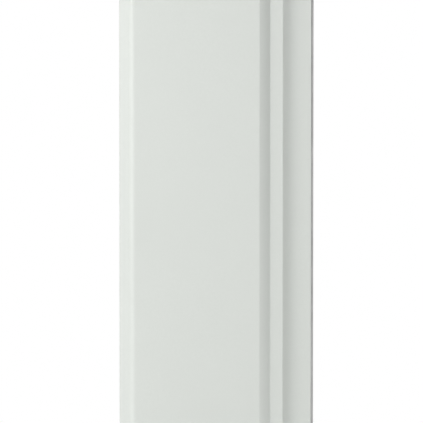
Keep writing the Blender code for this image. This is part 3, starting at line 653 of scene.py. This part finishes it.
for side in ("right", "left"):
    low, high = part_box(f"seam_bead_{side}")
    outline = rounded_rectangle((low.x, low.y), (high.x, high.y), 0.0009, 18.0)
    bead = soft_prism(f"seam_strip_{side}", outline, low.z, high.z)
    finish_piece(bead, "rubber_dark", "column", [f"seam_bead_{side}"])

SCREEN_HALF_WIDTH = 0.034
for side, sign in (("front", -1), ("rear", 1)):
    near, far = sorted((sign * (RAISED_Y - WALL - 0.0001), sign * (RAISED_Y - WALL - 0.0009)))
    centre = -SOUND_X * sign
    low = (centre - SCREEN_HALF_WIDTH, near, SOUND_LOW)
    high = (centre + SCREEN_HALF_WIDTH, far, SOUND_HIGH)
    screen = box_mesh(f"grille_screen_{side}", low, high, 0.0002, 1)
    finish_piece(screen, "screen_cloth", "column")


# --- Lamp and cap ---

def densified(points, longest):
    """The closed path with extra points, so that no stretch is longer than asked."""
    dense = []
    for a, b in zip(points, points[1:] + points[:1]):
        parts = max(1, math.ceil((Vector(b) - Vector(a)).length / longest))
        dense += [tuple(Vector(a).lerp(Vector(b), i / parts)) for i in range(parts)]
    return dense


LENS_INSET = 0.002
CAP_ROUNDING = 0.005


def lens():
    """A band of clear red plastic, smooth outside and fluted inside."""
    outline = densified(column_outline(LENS_INSET, 0.0035), 0.0024)
    inner = []
    for i, (a, b) in enumerate(zip(offset(outline, 0.0014), offset(outline, 0.0019))):
        inner.append(a if i % 2 else b)
    levels = edge_levels(LENS_LOW.z, LENS_HIGH.z, 0.0005, 0.0005, 2)
    rings = [at_height(offset(outline, inset), z) for z, inset in levels]
    rings += [at_height(inner, LENS_HIGH.z), at_height(inner, LENS_LOW.z)]
    return loft("alarm_lens", rings, loop=True, sharp_deg=25)


finish_piece(lens(), "lamp_red", "column", ["lamp_lens"])


def cap():
    """A hollow lid with a well-rounded rim."""
    levels = edge_levels(CAP_LOW.z, CAP_HIGH.z, 0.0005, CAP_ROUNDING, 8)
    inner = column_outline(CAP_ROUNDING, 0.0055)
    rings = [at_height(inner, CAP_HIGH.z - WALL), at_height(inner, CAP_LOW.z)]
    rings += [at_height(column_outline(inset, 0.0055), z) for z, inset in levels]
    return loft("casing_cap", rings)


finish_piece(cap(), "shell_grey", "column", ["top_cap"])


# --- Plinth ---

PLINTH_CLEARANCE = 0.0016
PLINTH_ROUNDING = 0.012
PLINTH_LIP = 0.0007


def plinth():
    """The hollow foot cover, with a way through its top in the column's own outline."""
    low, high = PLINTH_LOW, PLINTH_HIGH
    outline = rounded_rectangle((low.x, low.y), (high.x, high.y), 0.022, 6.0)
    inner = offset(outline, WALL)
    levels = edge_levels(low.z, high.z, 0.0008, PLINTH_ROUNDING, 9)
    rings = [at_height(inner, high.z - PLINTH_ROUNDING), at_height(inner, low.z)]
    rings += [at_height(offset(outline, inset), z) for z, inset in levels]
    cover = loft("plinth_shell", rings)
    way = column_outline(-PLINTH_CLEARANCE)
    flared = column_outline(-PLINTH_CLEARANCE - PLINTH_LIP)
    hole = loft("way", [
        at_height(way, high.z - 0.030), at_height(way, high.z - PLINTH_LIP),
        at_height(flared, high.z), at_height(flared, high.z + 0.010)])
    return cut(cover, [hole])


finish_piece(plinth(), "shell_grey", "plinth", ["plinth_cover"])


# --- Fixings ---

def cross_cutter(place, axis, reach, width, depth):
    """A cutter for a cross recess: its floor lies depth under place, along the axis backwards."""
    w = width / 2
    outline = [(reach, -w), (reach, w), (w, w), (w, reach), (-w, reach), (-w, w),
               (-reach, w), (-reach, -w), (-w, -w), (-w, -reach), (w, -reach), (w, -w)]
    levels = ((-depth, 0.55), (0.0, 1.0), (0.002, 1.0))
    obj = loft("cross", [at_height([(x * k, y * k) for x, y in outline], z) for z, k in levels])
    obj.data.transform(placed_on(place, axis))
    return obj


def pan_screw(name, seat, axis, radius, height, shank=0.0, shank_radius=0.0):
    """A screw with a domed head on its seat and a cross recess in it."""
    head = [(radius, 0.0), *quarter_dome(radius, 0.65 * height, 6, 0.35 * height), (0.0, height)]
    stem, recess = [(0.0, 0.0)], 0.7 * height
    if shank:
        tip = [(0.0, -shank), (shank_radius * 0.7, -shank), (shank_radius, -shank + 0.0006)]
        stem, recess = tip + [(shank_radius, 0.0)], 1.1 * height
    screw = lathe(name, stem + head, seat, axis, 28)
    top = Vector(seat) + Vector(axis) * height
    return cut(screw, [cross_cutter(top, axis, radius * 0.56, radius * 0.26, recess)])


def hex_bolt(name, place, apothem, head_height, shank_radius, bottom):
    """A hexagon bolt, its head's corners chamfered off in a cone."""
    steps = 48
    x, y, head_z = place

    def hexagon(limit):
        ring = []
        for i in range(steps):
            angle = 2 * math.pi * i / steps
            radius = apothem / math.cos((angle % (math.pi / 3)) - math.pi / 6)
            ring.append((min(radius, limit) * math.cos(angle), min(radius, limit) * math.sin(angle)))
        return ring

    top = head_z + head_height
    unlimited = 1.0
    levels = [
        (bottom, circle(shank_radius - 0.0008, steps)), (bottom + 0.0008, circle(shank_radius, steps)),
        (head_z, circle(shank_radius, steps)),
        (head_z, hexagon(unlimited)), (top - 0.0013, hexagon(unlimited)),
        (top - 0.0006, hexagon(apothem * 1.06)), (top, circle(apothem * 0.93, steps)),
        (top - 0.0004, circle(apothem * 0.86, steps)),
    ]
    return loft(name, [[(x + px, y + py, z) for px, py in ring] for z, ring in levels])


WASHER_GAP = 0.0003
BOLT_SHANK_RADIUS = 0.006
BOLT_SPIN = 0.3
for number in range(1, 5):
    low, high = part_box(f"anchor_bolt_{number}")
    centre = (low + high) / 2
    seat = Vector((centre.x, centre.y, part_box(f"anchor_washer_{number}")[1].z + WASHER_GAP))
    apothem, head_height = (high.y - low.y) / 2, high.z - seat.z
    bolt = hex_bolt(f"floor_bolt_{number}", seat, apothem, head_height, BOLT_SHANK_RADIUS, low.z)
    spin = Matrix.Rotation(BOLT_SPIN * number, 4, "Z")
    bolt.data.transform(Matrix.Translation(centre) @ spin @ Matrix.Translation(-centre))
    finish_piece(bolt, "steel_zinc", "column", [f"anchor_bolt_{number}"])

SCREW_DEPTH = 0.0015
SCREW_HEAD = (0.0037, 0.0013)
SCREW_SHANK = {"shank": 0.0080, "shank_radius": 0.0019}
for side, sign in (("front", 1), ("rear", -1)):
    for number, z in enumerate(SCREW_ZS, 1):
        seat = (SCREW_X * sign, (-RAISED_Y + SCREW_DEPTH) * sign, z)
        name = f"casing_screw_{side}_{number}"
        screw = pan_screw(name, seat, (0, -sign, 0), *SCREW_HEAD, **SCREW_SHANK)
        finish_piece(screw, "steel_zinc", "column", [f"{side}_shell_screw_{number}"])


def plate_hole(x, y, radius, steps):
    return lathe("hole", [(0, -0.01), (radius, -0.01), (radius, 0.03), (0, 0.03)], (x, y, 0), UPWARDS, steps)


def foot_plate():
    """The floor plate, with its cable hole in the middle and a hole for each bolt."""
    low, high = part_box("base_plate")
    outline = rounded_rectangle((low.x, low.y), (high.x, high.y), 0.012)
    plate = soft_prism("floor_plate", outline, low.z, high.z, 0.0006, 0.0010)
    holes = [plate_hole(0, 0, 0.022, 48)]
    for number in range(1, 5):
        washer_low, washer_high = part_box(f"anchor_washer_{number}")
        x, y = (washer_low.x + washer_high.x) / 2, (washer_low.y + washer_high.y) / 2
        holes.append(plate_hole(x, y, 0.0068, 24))
    return cut(plate, holes)


finish_piece(foot_plate(), "steel_painted", "column", ["base_plate"])


# --- Service door ---

DOOR_RADIUS = 0.005
LOCK_LOW, LOCK_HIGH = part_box("lock_housing")
LOCK_X, LOCK_Z = (LOCK_LOW.x + LOCK_HIGH.x) / 2, (LOCK_LOW.z + LOCK_HIGH.z) / 2
LOCK_BARREL = 0.0085
LABEL_FIELD = (0.014, 0.380, 0.092, 0.176)


def door():
    """The door with rounded edges and a shallow sunk field, made at the front and turned to the rear."""
    low, high = DOOR_LOW, DOOR_HIGH
    outline = rounded_rectangle((-high.x, low.z), (-low.x, high.z), DOOR_RADIUS)
    rings = []
    for depth, inset in (
            (low.y, 0.0004), (low.y + 0.0004, 0.0), (high.y - 0.0008, 0.0),
            (high.y - 0.0004, 0.00012), (high.y - 0.0001, 0.0004), (high.y, 0.0008)):
        rings.append([(x, -depth, z) for x, z in offset(outline, inset)])
    panel = loft("service_door", rings)
    field_x, field_z, width, height = LABEL_FIELD
    field = slot_cutter(-field_x, field_z, width, height, high.y, 0.006, 0.0003, 0.0005)
    barrel = [(0, 0), (LOCK_BARREL + 0.0003, 0), (LOCK_BARREL + 0.0003, 0.02), (0, 0.02)]
    cut(panel, [field, lathe("hole", barrel, (-LOCK_X, -high.y - 0.01, LOCK_Z), REARWARDS, 40)])
    return half_turn(panel)


finish_piece(door(), "shell_grey", "door", ["door_panel"])


def lock_ring():
    """The lock's flanged housing, its face dished towards the plug."""
    inner = LOCK_LOW.y
    face = LOCK_HIGH.y
    bore = 0.0058
    flange = [
        (LOCK_BARREL, 0.0024), (0.0106, 0.0024), (0.0108, 0.0022), (0.0108, 0.0013), (0.0106, 0.0008),
        (0.0101, 0.0003), (0.0095, 0.0), (0.0078, 0.0), (0.0070, 0.0004),
        (bore + 0.0002, 0.0007), (bore, 0.0010)]
    profile = [(bore, inner), (LOCK_BARREL, inner)] + [(radius, face - depth) for radius, depth in flange]
    return lathe("lock_ring", profile, (LOCK_X, 0, LOCK_Z), REARWARDS, 56)


finish_piece(lock_ring(), "steel_zinc", "door", ["lock_housing"])

HINGE_PIN_RADIUS = 0.0015
LEAF_FACE = RAISED_Y + 0.0015
for level in ("lower", "upper"):
    for kind, body, from_axis in (("fixed_leaf", "column", -0.0105), ("door_leaf", "door", 0.0125)):
        low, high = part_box(f"hinge_{kind}_{level}")
        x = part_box(f"hinge_pin_{level}")[0].x + HINGE_PIN_RADIUS + from_axis
        for number, share in enumerate((0.2, 0.8), 1):
            place = (x, LEAF_FACE, low.z + share * (high.z - low.z))
            screw = pan_screw(f"hinge_screw_{kind}_{level}_{number}", place, REARWARDS, 0.0024, 0.0009)
            finish_piece(screw, "steel_zinc", body)


# --- Electronics behind the door ---

BOARD_LOW, BOARD_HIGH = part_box("main_board")
BOARD_FACE = BOARD_HIGH.y + 0.0002


def on_board(x, z, width, height, rise, base=0.0, bevel=0.0003):
    """A block that stands on the board, centred on x and z."""
    low = (x - width / 2, BOARD_FACE + base, z - height / 2)
    return box_mesh("block", low, (x + width / 2, BOARD_FACE + base + rise, z + height / 2), bevel, 2)


def gull_legs(x, z, width, height, count, sides):
    """Rows of flat pins beside a chip's body: sides names "l" for left and right, "t" for top and bottom."""
    legs = []
    reach, length, thickness = 0.0008, 0.0018, 0.0005
    for i in range(count):
        share = (i + 0.5) / count - 0.5
        for sign in (-1, 1) if "l" in sides else ():
            at = (x + sign * (width / 2 + reach), z + share * height)
            legs.append(on_board(*at, length, thickness, thickness, bevel=0.0001))
        for sign in (-1, 1) if "t" in sides else ():
            at = (x + share * width, z + sign * (height / 2 + reach))
            legs.append(on_board(*at, thickness, length, thickness, bevel=0.0001))
    return legs


# Each chip's place (x, z), size, number of pins on a side, and sides with pins.
CHIPS = [
    (-0.014, 0.372, 0.020, 0.020, 12, "lt"), (0.009, 0.404, 0.006, 0.010, 7, "l"),
    (-0.030, 0.345, 0.006, 0.010, 7, "l"), (0.009, 0.352, 0.006, 0.005, 4, "l"),
    (-0.030, 0.418, 0.009, 0.016, 10, "l"), (-0.060, 0.428, 0.006, 0.010, 7, "l"),
    (-0.080, 0.428, 0.006, 0.010, 7, "l"), (0.010, 0.330, 0.005, 0.007, 4, "l"),
]


def chips():
    """The chips' bodies in one piece and their pins in another."""
    bodies, legs = [], []
    for x, z, width, height, count, sides in CHIPS:
        bodies.append(on_board(x, z, width, height, 0.0016, 0.0004, 0.0002))
        legs += gull_legs(x, z, width, height * 0.92, count, sides)
    return merge("board_chips", bodies), merge("board_chip_legs", legs)


for piece, look in zip(chips(), ("plastic_black", "steel_zinc")):
    finish_piece(piece, look, "column")


def small_parts():
    """Chip resistors and capacitors in loose rows, the same each run."""
    draw = random.Random(7)
    bodies, caps = [], []
    (first_x, pitch_x), (first_z, pitch_z) = (-0.036, 0.0088), (0.310, 0.0175)
    for row in range(9):
        for column in range(6):
            x = first_x + column * pitch_x + draw.uniform(-0.0012, 0.0012)
            z = first_z + row * pitch_z + draw.uniform(-0.002, 0.002)
            near_chip = abs(x + 0.014) < 0.015 and abs(z - 0.372) < 0.015
            near_control = abs(x + 0.010) < 0.011 and (abs(z - 0.430) < 0.011 or abs(z - 0.462) < 0.010)
            near_column = x > 0.003 and any(abs(z - at) < 0.009 for at in (0.404, 0.352, 0.330))
            near_row = x < -0.022 and any(abs(z - at) < 0.011 for at in (0.345, 0.418))
            if near_chip or near_control or near_column or near_row:
                continue
            long, short = 0.0032, 0.0016
            lying = draw.random() < 0.6
            size = (long, short) if lying else (short, long)
            end = (long * 0.2, short * 1.04) if lying else (short * 1.04, long * 0.2)
            bodies.append(on_board(x, z, *size, 0.0006, bevel=0.0001))
            for sign in (-1, 1):
                dx, dz = (sign * long * 0.42, 0) if lying else (0, sign * long * 0.42)
                caps.append(on_board(x + dx, z + dz, *end, 0.00064, bevel=0.0001))
    return merge("board_chip_resistors", bodies), merge("board_resistor_ends", caps)


for piece, look in zip(small_parts(), ("plastic_black", "steel_zinc")):
    finish_piece(piece, look, "column")

HEADER_X, HEADER_Z, HEADER_LENGTH = 0.0135, 0.4597, 0.0280
pins = [on_board(HEADER_X, 0.448 + 0.0026 * i, 0.0006, 0.0006, 0.0085, bevel=0.0001) for i in range(10)]
finish_piece(merge("header_pins", pins), "steel_zinc", "column")
header_base = on_board(HEADER_X, HEADER_Z, 0.0052, HEADER_LENGTH, 0.0026)
header_back = on_board(HEADER_X + 0.0030, HEADER_Z, 0.0010, HEADER_LENGTH, 0.0080)
header = merge("header_housing", [header_base, header_back])
finish_piece(header, "plastic_white", "column")


def capacitor(name, low, high):
    """A sleeved electrolytic can: crimped above its base, its bare top scored with a cross."""
    radius, height = (high.x - low.x) / 2, high.y - low.y
    crimp = [(0.0006, 0.0), (0.0, 0.0006), (0.0, 0.0020), (0.0007, 0.0027), (0.0007, 0.0033), (0.0, 0.0040)]
    rim = [(0.0, height - 0.0012), (0.0004, height - 0.0004), (0.0012, height)]
    profile = [(0, 0)] + [(radius - inset, at) for inset, at in crimp + rim] + [(0, height)]
    centre = ((low.x + high.x) / 2, low.y, (low.z + high.z) / 2)
    can = lathe(name, profile, centre, REARWARDS, 48)
    disc_profile = [(0, 0), (radius - 0.0016, 0), (radius - 0.0018, 0.0002), (0, 0.0002)]
    disc = lathe(name + "_top", disc_profile, (centre[0], high.y - 0.0001, centre[2]), REARWARDS, 40)
    top = (centre[0], high.y + 0.0001, centre[2])
    cut(disc, [cross_cutter(top, REARWARDS, radius * 0.62, 0.0005, 0.00012)])
    return can, disc


for number in (1, 2, 3):
    can, disc = capacitor(f"smoothing_capacitor_{number}", *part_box(f"capacitor_{number}"))
    finish_piece(can, "capacitor_blue", "column", [f"capacitor_{number}"])
    finish_piece(disc, "aluminium", "column")

SUPPLY_LOW, SUPPLY_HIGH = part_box("power_supply")
LOUVRES, LOUVRE_PITCH = 12, 0.0078
FIRST_LOUVRE = SUPPLY_LOW.z + 0.030
SUPPLY_ROUNDING = 0.0012


def supply():
    """The power supply's case, with louvres in its face."""
    low, high = SUPPLY_LOW, SUPPLY_HIGH
    outline = rounded_rectangle((low.x, low.y), (high.x, high.y), SUPPLY_ROUNDING, 22.5)
    bands = [FIRST_LOUVRE + (row - 0.5) * LOUVRE_PITCH for row in range(LOUVRES + 1)]
    rim = SUPPLY_ROUNDING - 0.0001
    case = soft_prism("supply_case", outline, low.z, high.z, rim, rim, bands=bands)
    louvres = []
    for row in range(LOUVRES):
        z = FIRST_LOUVRE + row * LOUVRE_PITCH
        louvre = slot_cutter(-(low.x + high.x) / 2, z, 0.034, 0.0030, high.y, depth=0.007, lip=0.0004)
        louvres.append(half_turn(louvre))
    return cut(case, louvres)


finish_piece(supply(), "aluminium", "column", ["power_supply"])
SUPPLY_SCREW_INSET = Vector((0.006, 0, 0.008))
low, high = SUPPLY_LOW + SUPPLY_SCREW_INSET, SUPPLY_HIGH - SUPPLY_SCREW_INSET
for number, (x, z) in enumerate(((low.x, low.z), (high.x, low.z), (low.x, high.z), (high.x, high.z)), 1):
    screw = pan_screw(f"supply_screw_{number}", (x, high.y, z), REARWARDS, 0.0026, 0.0012)
    finish_piece(screw, "steel_zinc", "column")


def terminal_screws(name, node, count, radius):
    """Slotted screws down in a terminal block's holes."""
    low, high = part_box(node)
    pitch = (high.x - low.x) / count
    screws = []
    for i in range(count):
        place = (low.x + (i + 0.5) * pitch, high.y - 0.0029, (low.z + high.z) / 2)
        profile = [(0, 0), (radius, 0), (radius, 0.0010), (radius * 0.85, 0.0014), (0, 0.0014)]
        screw = lathe("screw", profile, place, REARWARDS, 24)
        slot_low = Vector(place) + Vector((-radius * 1.2, 0.0008, -radius * 0.14))
        slot_high = Vector(place) + Vector((radius * 1.2, 0.0030, radius * 0.14))
        screws.append(cut(screw, [box_mesh("slot", slot_low, slot_high, 0)]))
    return merge(name, screws)


for kind, count, radius in (("signal", 8, 0.0021), ("mains", 3, 0.0040)):
    screws = terminal_screws(f"{kind}_terminal_screws", f"{kind}_terminals", count, radius)
    finish_piece(screws, "steel_zinc", "column")


def dial():
    """The volume dial: a fluted rim and a pointer groove."""
    low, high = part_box("volume_knob")
    centre, outer = (low + high) / 2, (high.x - low.x) / 2
    flutes = []
    for i in range(96):
        angle = 2 * math.pi * i / 96
        radius = outer - 0.00035 * (1 - math.cos(24 * angle)) / 2
        flutes.append((radius * math.cos(angle), radius * math.sin(angle)))
    rings = []
    for y, shrink in ((low.y, 0.0), (high.y - 0.0010, 0.0002), (high.y - 0.0003, 0.0006), (high.y, 0.0012)):
        k = (outer - shrink) / outer
        rings.append([(centre.x + px * k, y, centre.z + pz * k) for px, pz in flutes])
    knob = loft("volume_dial", rings)
    groove_low = (centre.x - 0.0005, high.y - 0.0009, centre.z + 0.0012)
    groove_high = (centre.x + 0.0005, high.y + 0.001, centre.z + 0.0045)
    return cut(knob, [box_mesh("groove", groove_low, groove_high, 0)])


finish_piece(dial(), "plastic_white", "knob", ["volume_knob"])


def push_cap():
    """The reset button's cap, a little dished for the fingertip."""
    low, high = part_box("reset_button")
    radius = (high.x - low.x) / 2
    height = high.y - low.y
    profile = [
        (0, 0), (radius, 0), (radius, height - 0.0010), (radius - 0.0003, height - 0.0004),
        (radius - 0.0009, height), (radius * 0.5, height - 0.0002), (0, height - 0.0003)]
    centre = ((low.x + high.x) / 2, low.y, (low.z + high.z) / 2)
    return lathe("reset_cap", profile, centre, REARWARDS, 36)


finish_piece(push_cap(), "button_red", "button", ["reset_button"])


def lamp_lights():
    """Domed lights in a row on the lamp's board."""
    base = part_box("lamp_board")[1].z - 0.0070
    first_x, pitch = -0.128, 0.032
    radius, side = 0.0026, 0.0042
    foot = [(0, 0), (0.0030, 0), (0.0030, 0.0008), (radius, 0.0010)]
    profile = foot + quarter_dome(radius, radius, 6, side) + [(0, side + radius)]
    lights = []
    for i in range(9):
        lights.append(lathe("light", profile, (first_x + i * pitch, 0, base), UPWARDS, 24))
    return merge("lamp_lights", lights)


finish_piece(lamp_lights(), "plastic_white", "column")


# --- Stage, light and camera ---

FLOOR_RADIUS = 3.0
CAMERA_DISTANCE = 4.2
CAMERA_AZIMUTH, CAMERA_PITCH = -25.5, 2.3
AIM_SIDE, AIM_HEIGHT = -0.01065, 0.78
FRAME_WIDTH = 0.7052
SENSOR_WIDTH = 36.0
LOBE_TIGHTNESS = 3.0


def direction(azimuth, elevation):
    """The unit vector towards a compass place: azimuth 0 is in front (-Y), 90 is to the right (+X)."""
    a, e = math.radians(azimuth), math.radians(elevation)
    return Vector((math.sin(a) * math.cos(e), -math.cos(a) * math.cos(e), math.sin(e)))


def floor():
    """A pale round floor whose rim fades out into the background."""
    bm = bmesh.new()
    bmesh.ops.create_circle(bm, cap_ends=True, radius=FLOOR_RADIUS, segments=96)
    obj = from_bmesh("floor", bm)
    g = Graph("pale_floor")
    length = g.add("ShaderNodeVectorMath", operation="LENGTH")
    g.link(g.place, length.inputs[0])
    fade = g.spread(length.outputs["Value"], 0.35 * FLOOR_RADIUS, 0.98 * FLOOR_RADIUS, 1.0, 0.0, smooth=True)
    g.link(fade, g.shader.inputs["Alpha"])
    tone = g.mix(g.spread(g.noise(3.0, 3.0), 0.3, 0.7), (0.84, 0.84, 0.84, 1), (0.86, 0.86, 0.86, 1))
    obj.data.materials.append(g.done(tone, Roughness=0.65))


def surroundings(lobes):
    """Broad soft lights, each (azimuth, elevation, strength), before a plain white background."""
    world = bpy.data.worlds.new("studio")
    bpy.context.scene.world = world
    world.use_nodes = True
    tree = world.node_tree
    tree.nodes.clear()
    place = tree.nodes.new("ShaderNodeTexCoord").outputs["Generated"]

    def step(operation, a, b):
        node = tree.nodes.new("ShaderNodeMath")
        node.operation = operation
        for socket, value in zip(node.inputs, (a, b)):
            if isinstance(value, float):
                socket.default_value = value
            else:
                tree.links.new(value, socket)
        return node.outputs[0]

    total = 0.0
    for azimuth, elevation, strength in lobes:
        dot = tree.nodes.new("ShaderNodeVectorMath")
        dot.operation = "DOT_PRODUCT"
        tree.links.new(place, dot.inputs[0])
        dot.inputs[1].default_value = direction(azimuth, elevation)
        lobe = step("POWER", step("MAXIMUM", dot.outputs["Value"], 0.0), LOBE_TIGHTNESS)
        total = step("ADD", step("MULTIPLY", lobe, strength), total)
    light = tree.nodes.new("ShaderNodeBackground")
    plain = tree.nodes.new("ShaderNodeBackground")
    mix = tree.nodes.new("ShaderNodeMixShader")
    light.inputs["Color"].default_value = (1, 1, 1, 1)
    tree.links.new(total, light.inputs["Strength"])
    plain.inputs["Color"].default_value = (1, 1, 1, 1)
    plain.inputs["Strength"].default_value = 1.0
    path = tree.nodes.new("ShaderNodeLightPath")
    tree.links.new(path.outputs["Is Camera Ray"], mix.inputs[0])
    tree.links.new(light.outputs[0], mix.inputs[1])
    tree.links.new(plain.outputs[0], mix.inputs[2])
    tree.links.new(mix.outputs[0], tree.nodes.new("ShaderNodeOutputWorld").inputs["Surface"])


def softbox(name, place, target, power, size):
    """A square area light that the camera doesn't see."""
    data = bpy.data.lights.new(name, "AREA")
    data.shape = "SQUARE"
    data.size = size
    data.energy = power
    obj = bpy.data.objects.new(name, data)
    bpy.context.scene.collection.objects.link(obj)
    obj.location = place
    obj.rotation_euler = (Vector(target) - Vector(place)).to_track_quat("-Z", "Y").to_euler()
    obj.visible_camera = False


def camera():
    """The camera: a little above the column's middle, and to the left of its front."""
    back = direction(CAMERA_AZIMUTH, CAMERA_PITCH)
    side = direction(CAMERA_AZIMUTH + 90, 0)
    target = side * AIM_SIDE + Vector((0, 0, AIM_HEIGHT))
    data = bpy.data.cameras.new("camera")
    data.sensor_width = SENSOR_WIDTH
    data.lens = SENSOR_WIDTH * CAMERA_DISTANCE / FRAME_WIDTH
    data.clip_start, data.clip_end = 0.1, 60.0
    obj = bpy.data.objects.new("camera", data)
    bpy.context.scene.collection.objects.link(obj)
    obj.location = target + back * CAMERA_DISTANCE
    obj.rotation_euler = (-back).to_track_quat("-Z", "Y").to_euler()
    bpy.context.scene.camera = obj


floor()
surroundings([(0, 89, 0.58), (45, 10, 0.20), (140, 25, 0.50), (180, 20, 0.97), (-135, 10, 0.48)])
softbox("key", (-1.3, -1.0, 1.7), (0, 0, 0.9), power=9.0, size=0.8)
softbox("high_left", (-1.6, 0.3, 2.0), (0, 0, 1.1), power=4.0, size=0.8)
softbox("fill_left", (-2.2, -1.2, 1.0), (0, 0, 0.8), power=25.5, size=1.2)
softbox("fill_right", (1.4, -3.0, 1.4), (0, 0, 0.8), power=38.5, size=1.4)
camera()
bpy.context.scene.view_settings.view_transform = "Standard"
bpy.context.scene.view_settings.look = "None"
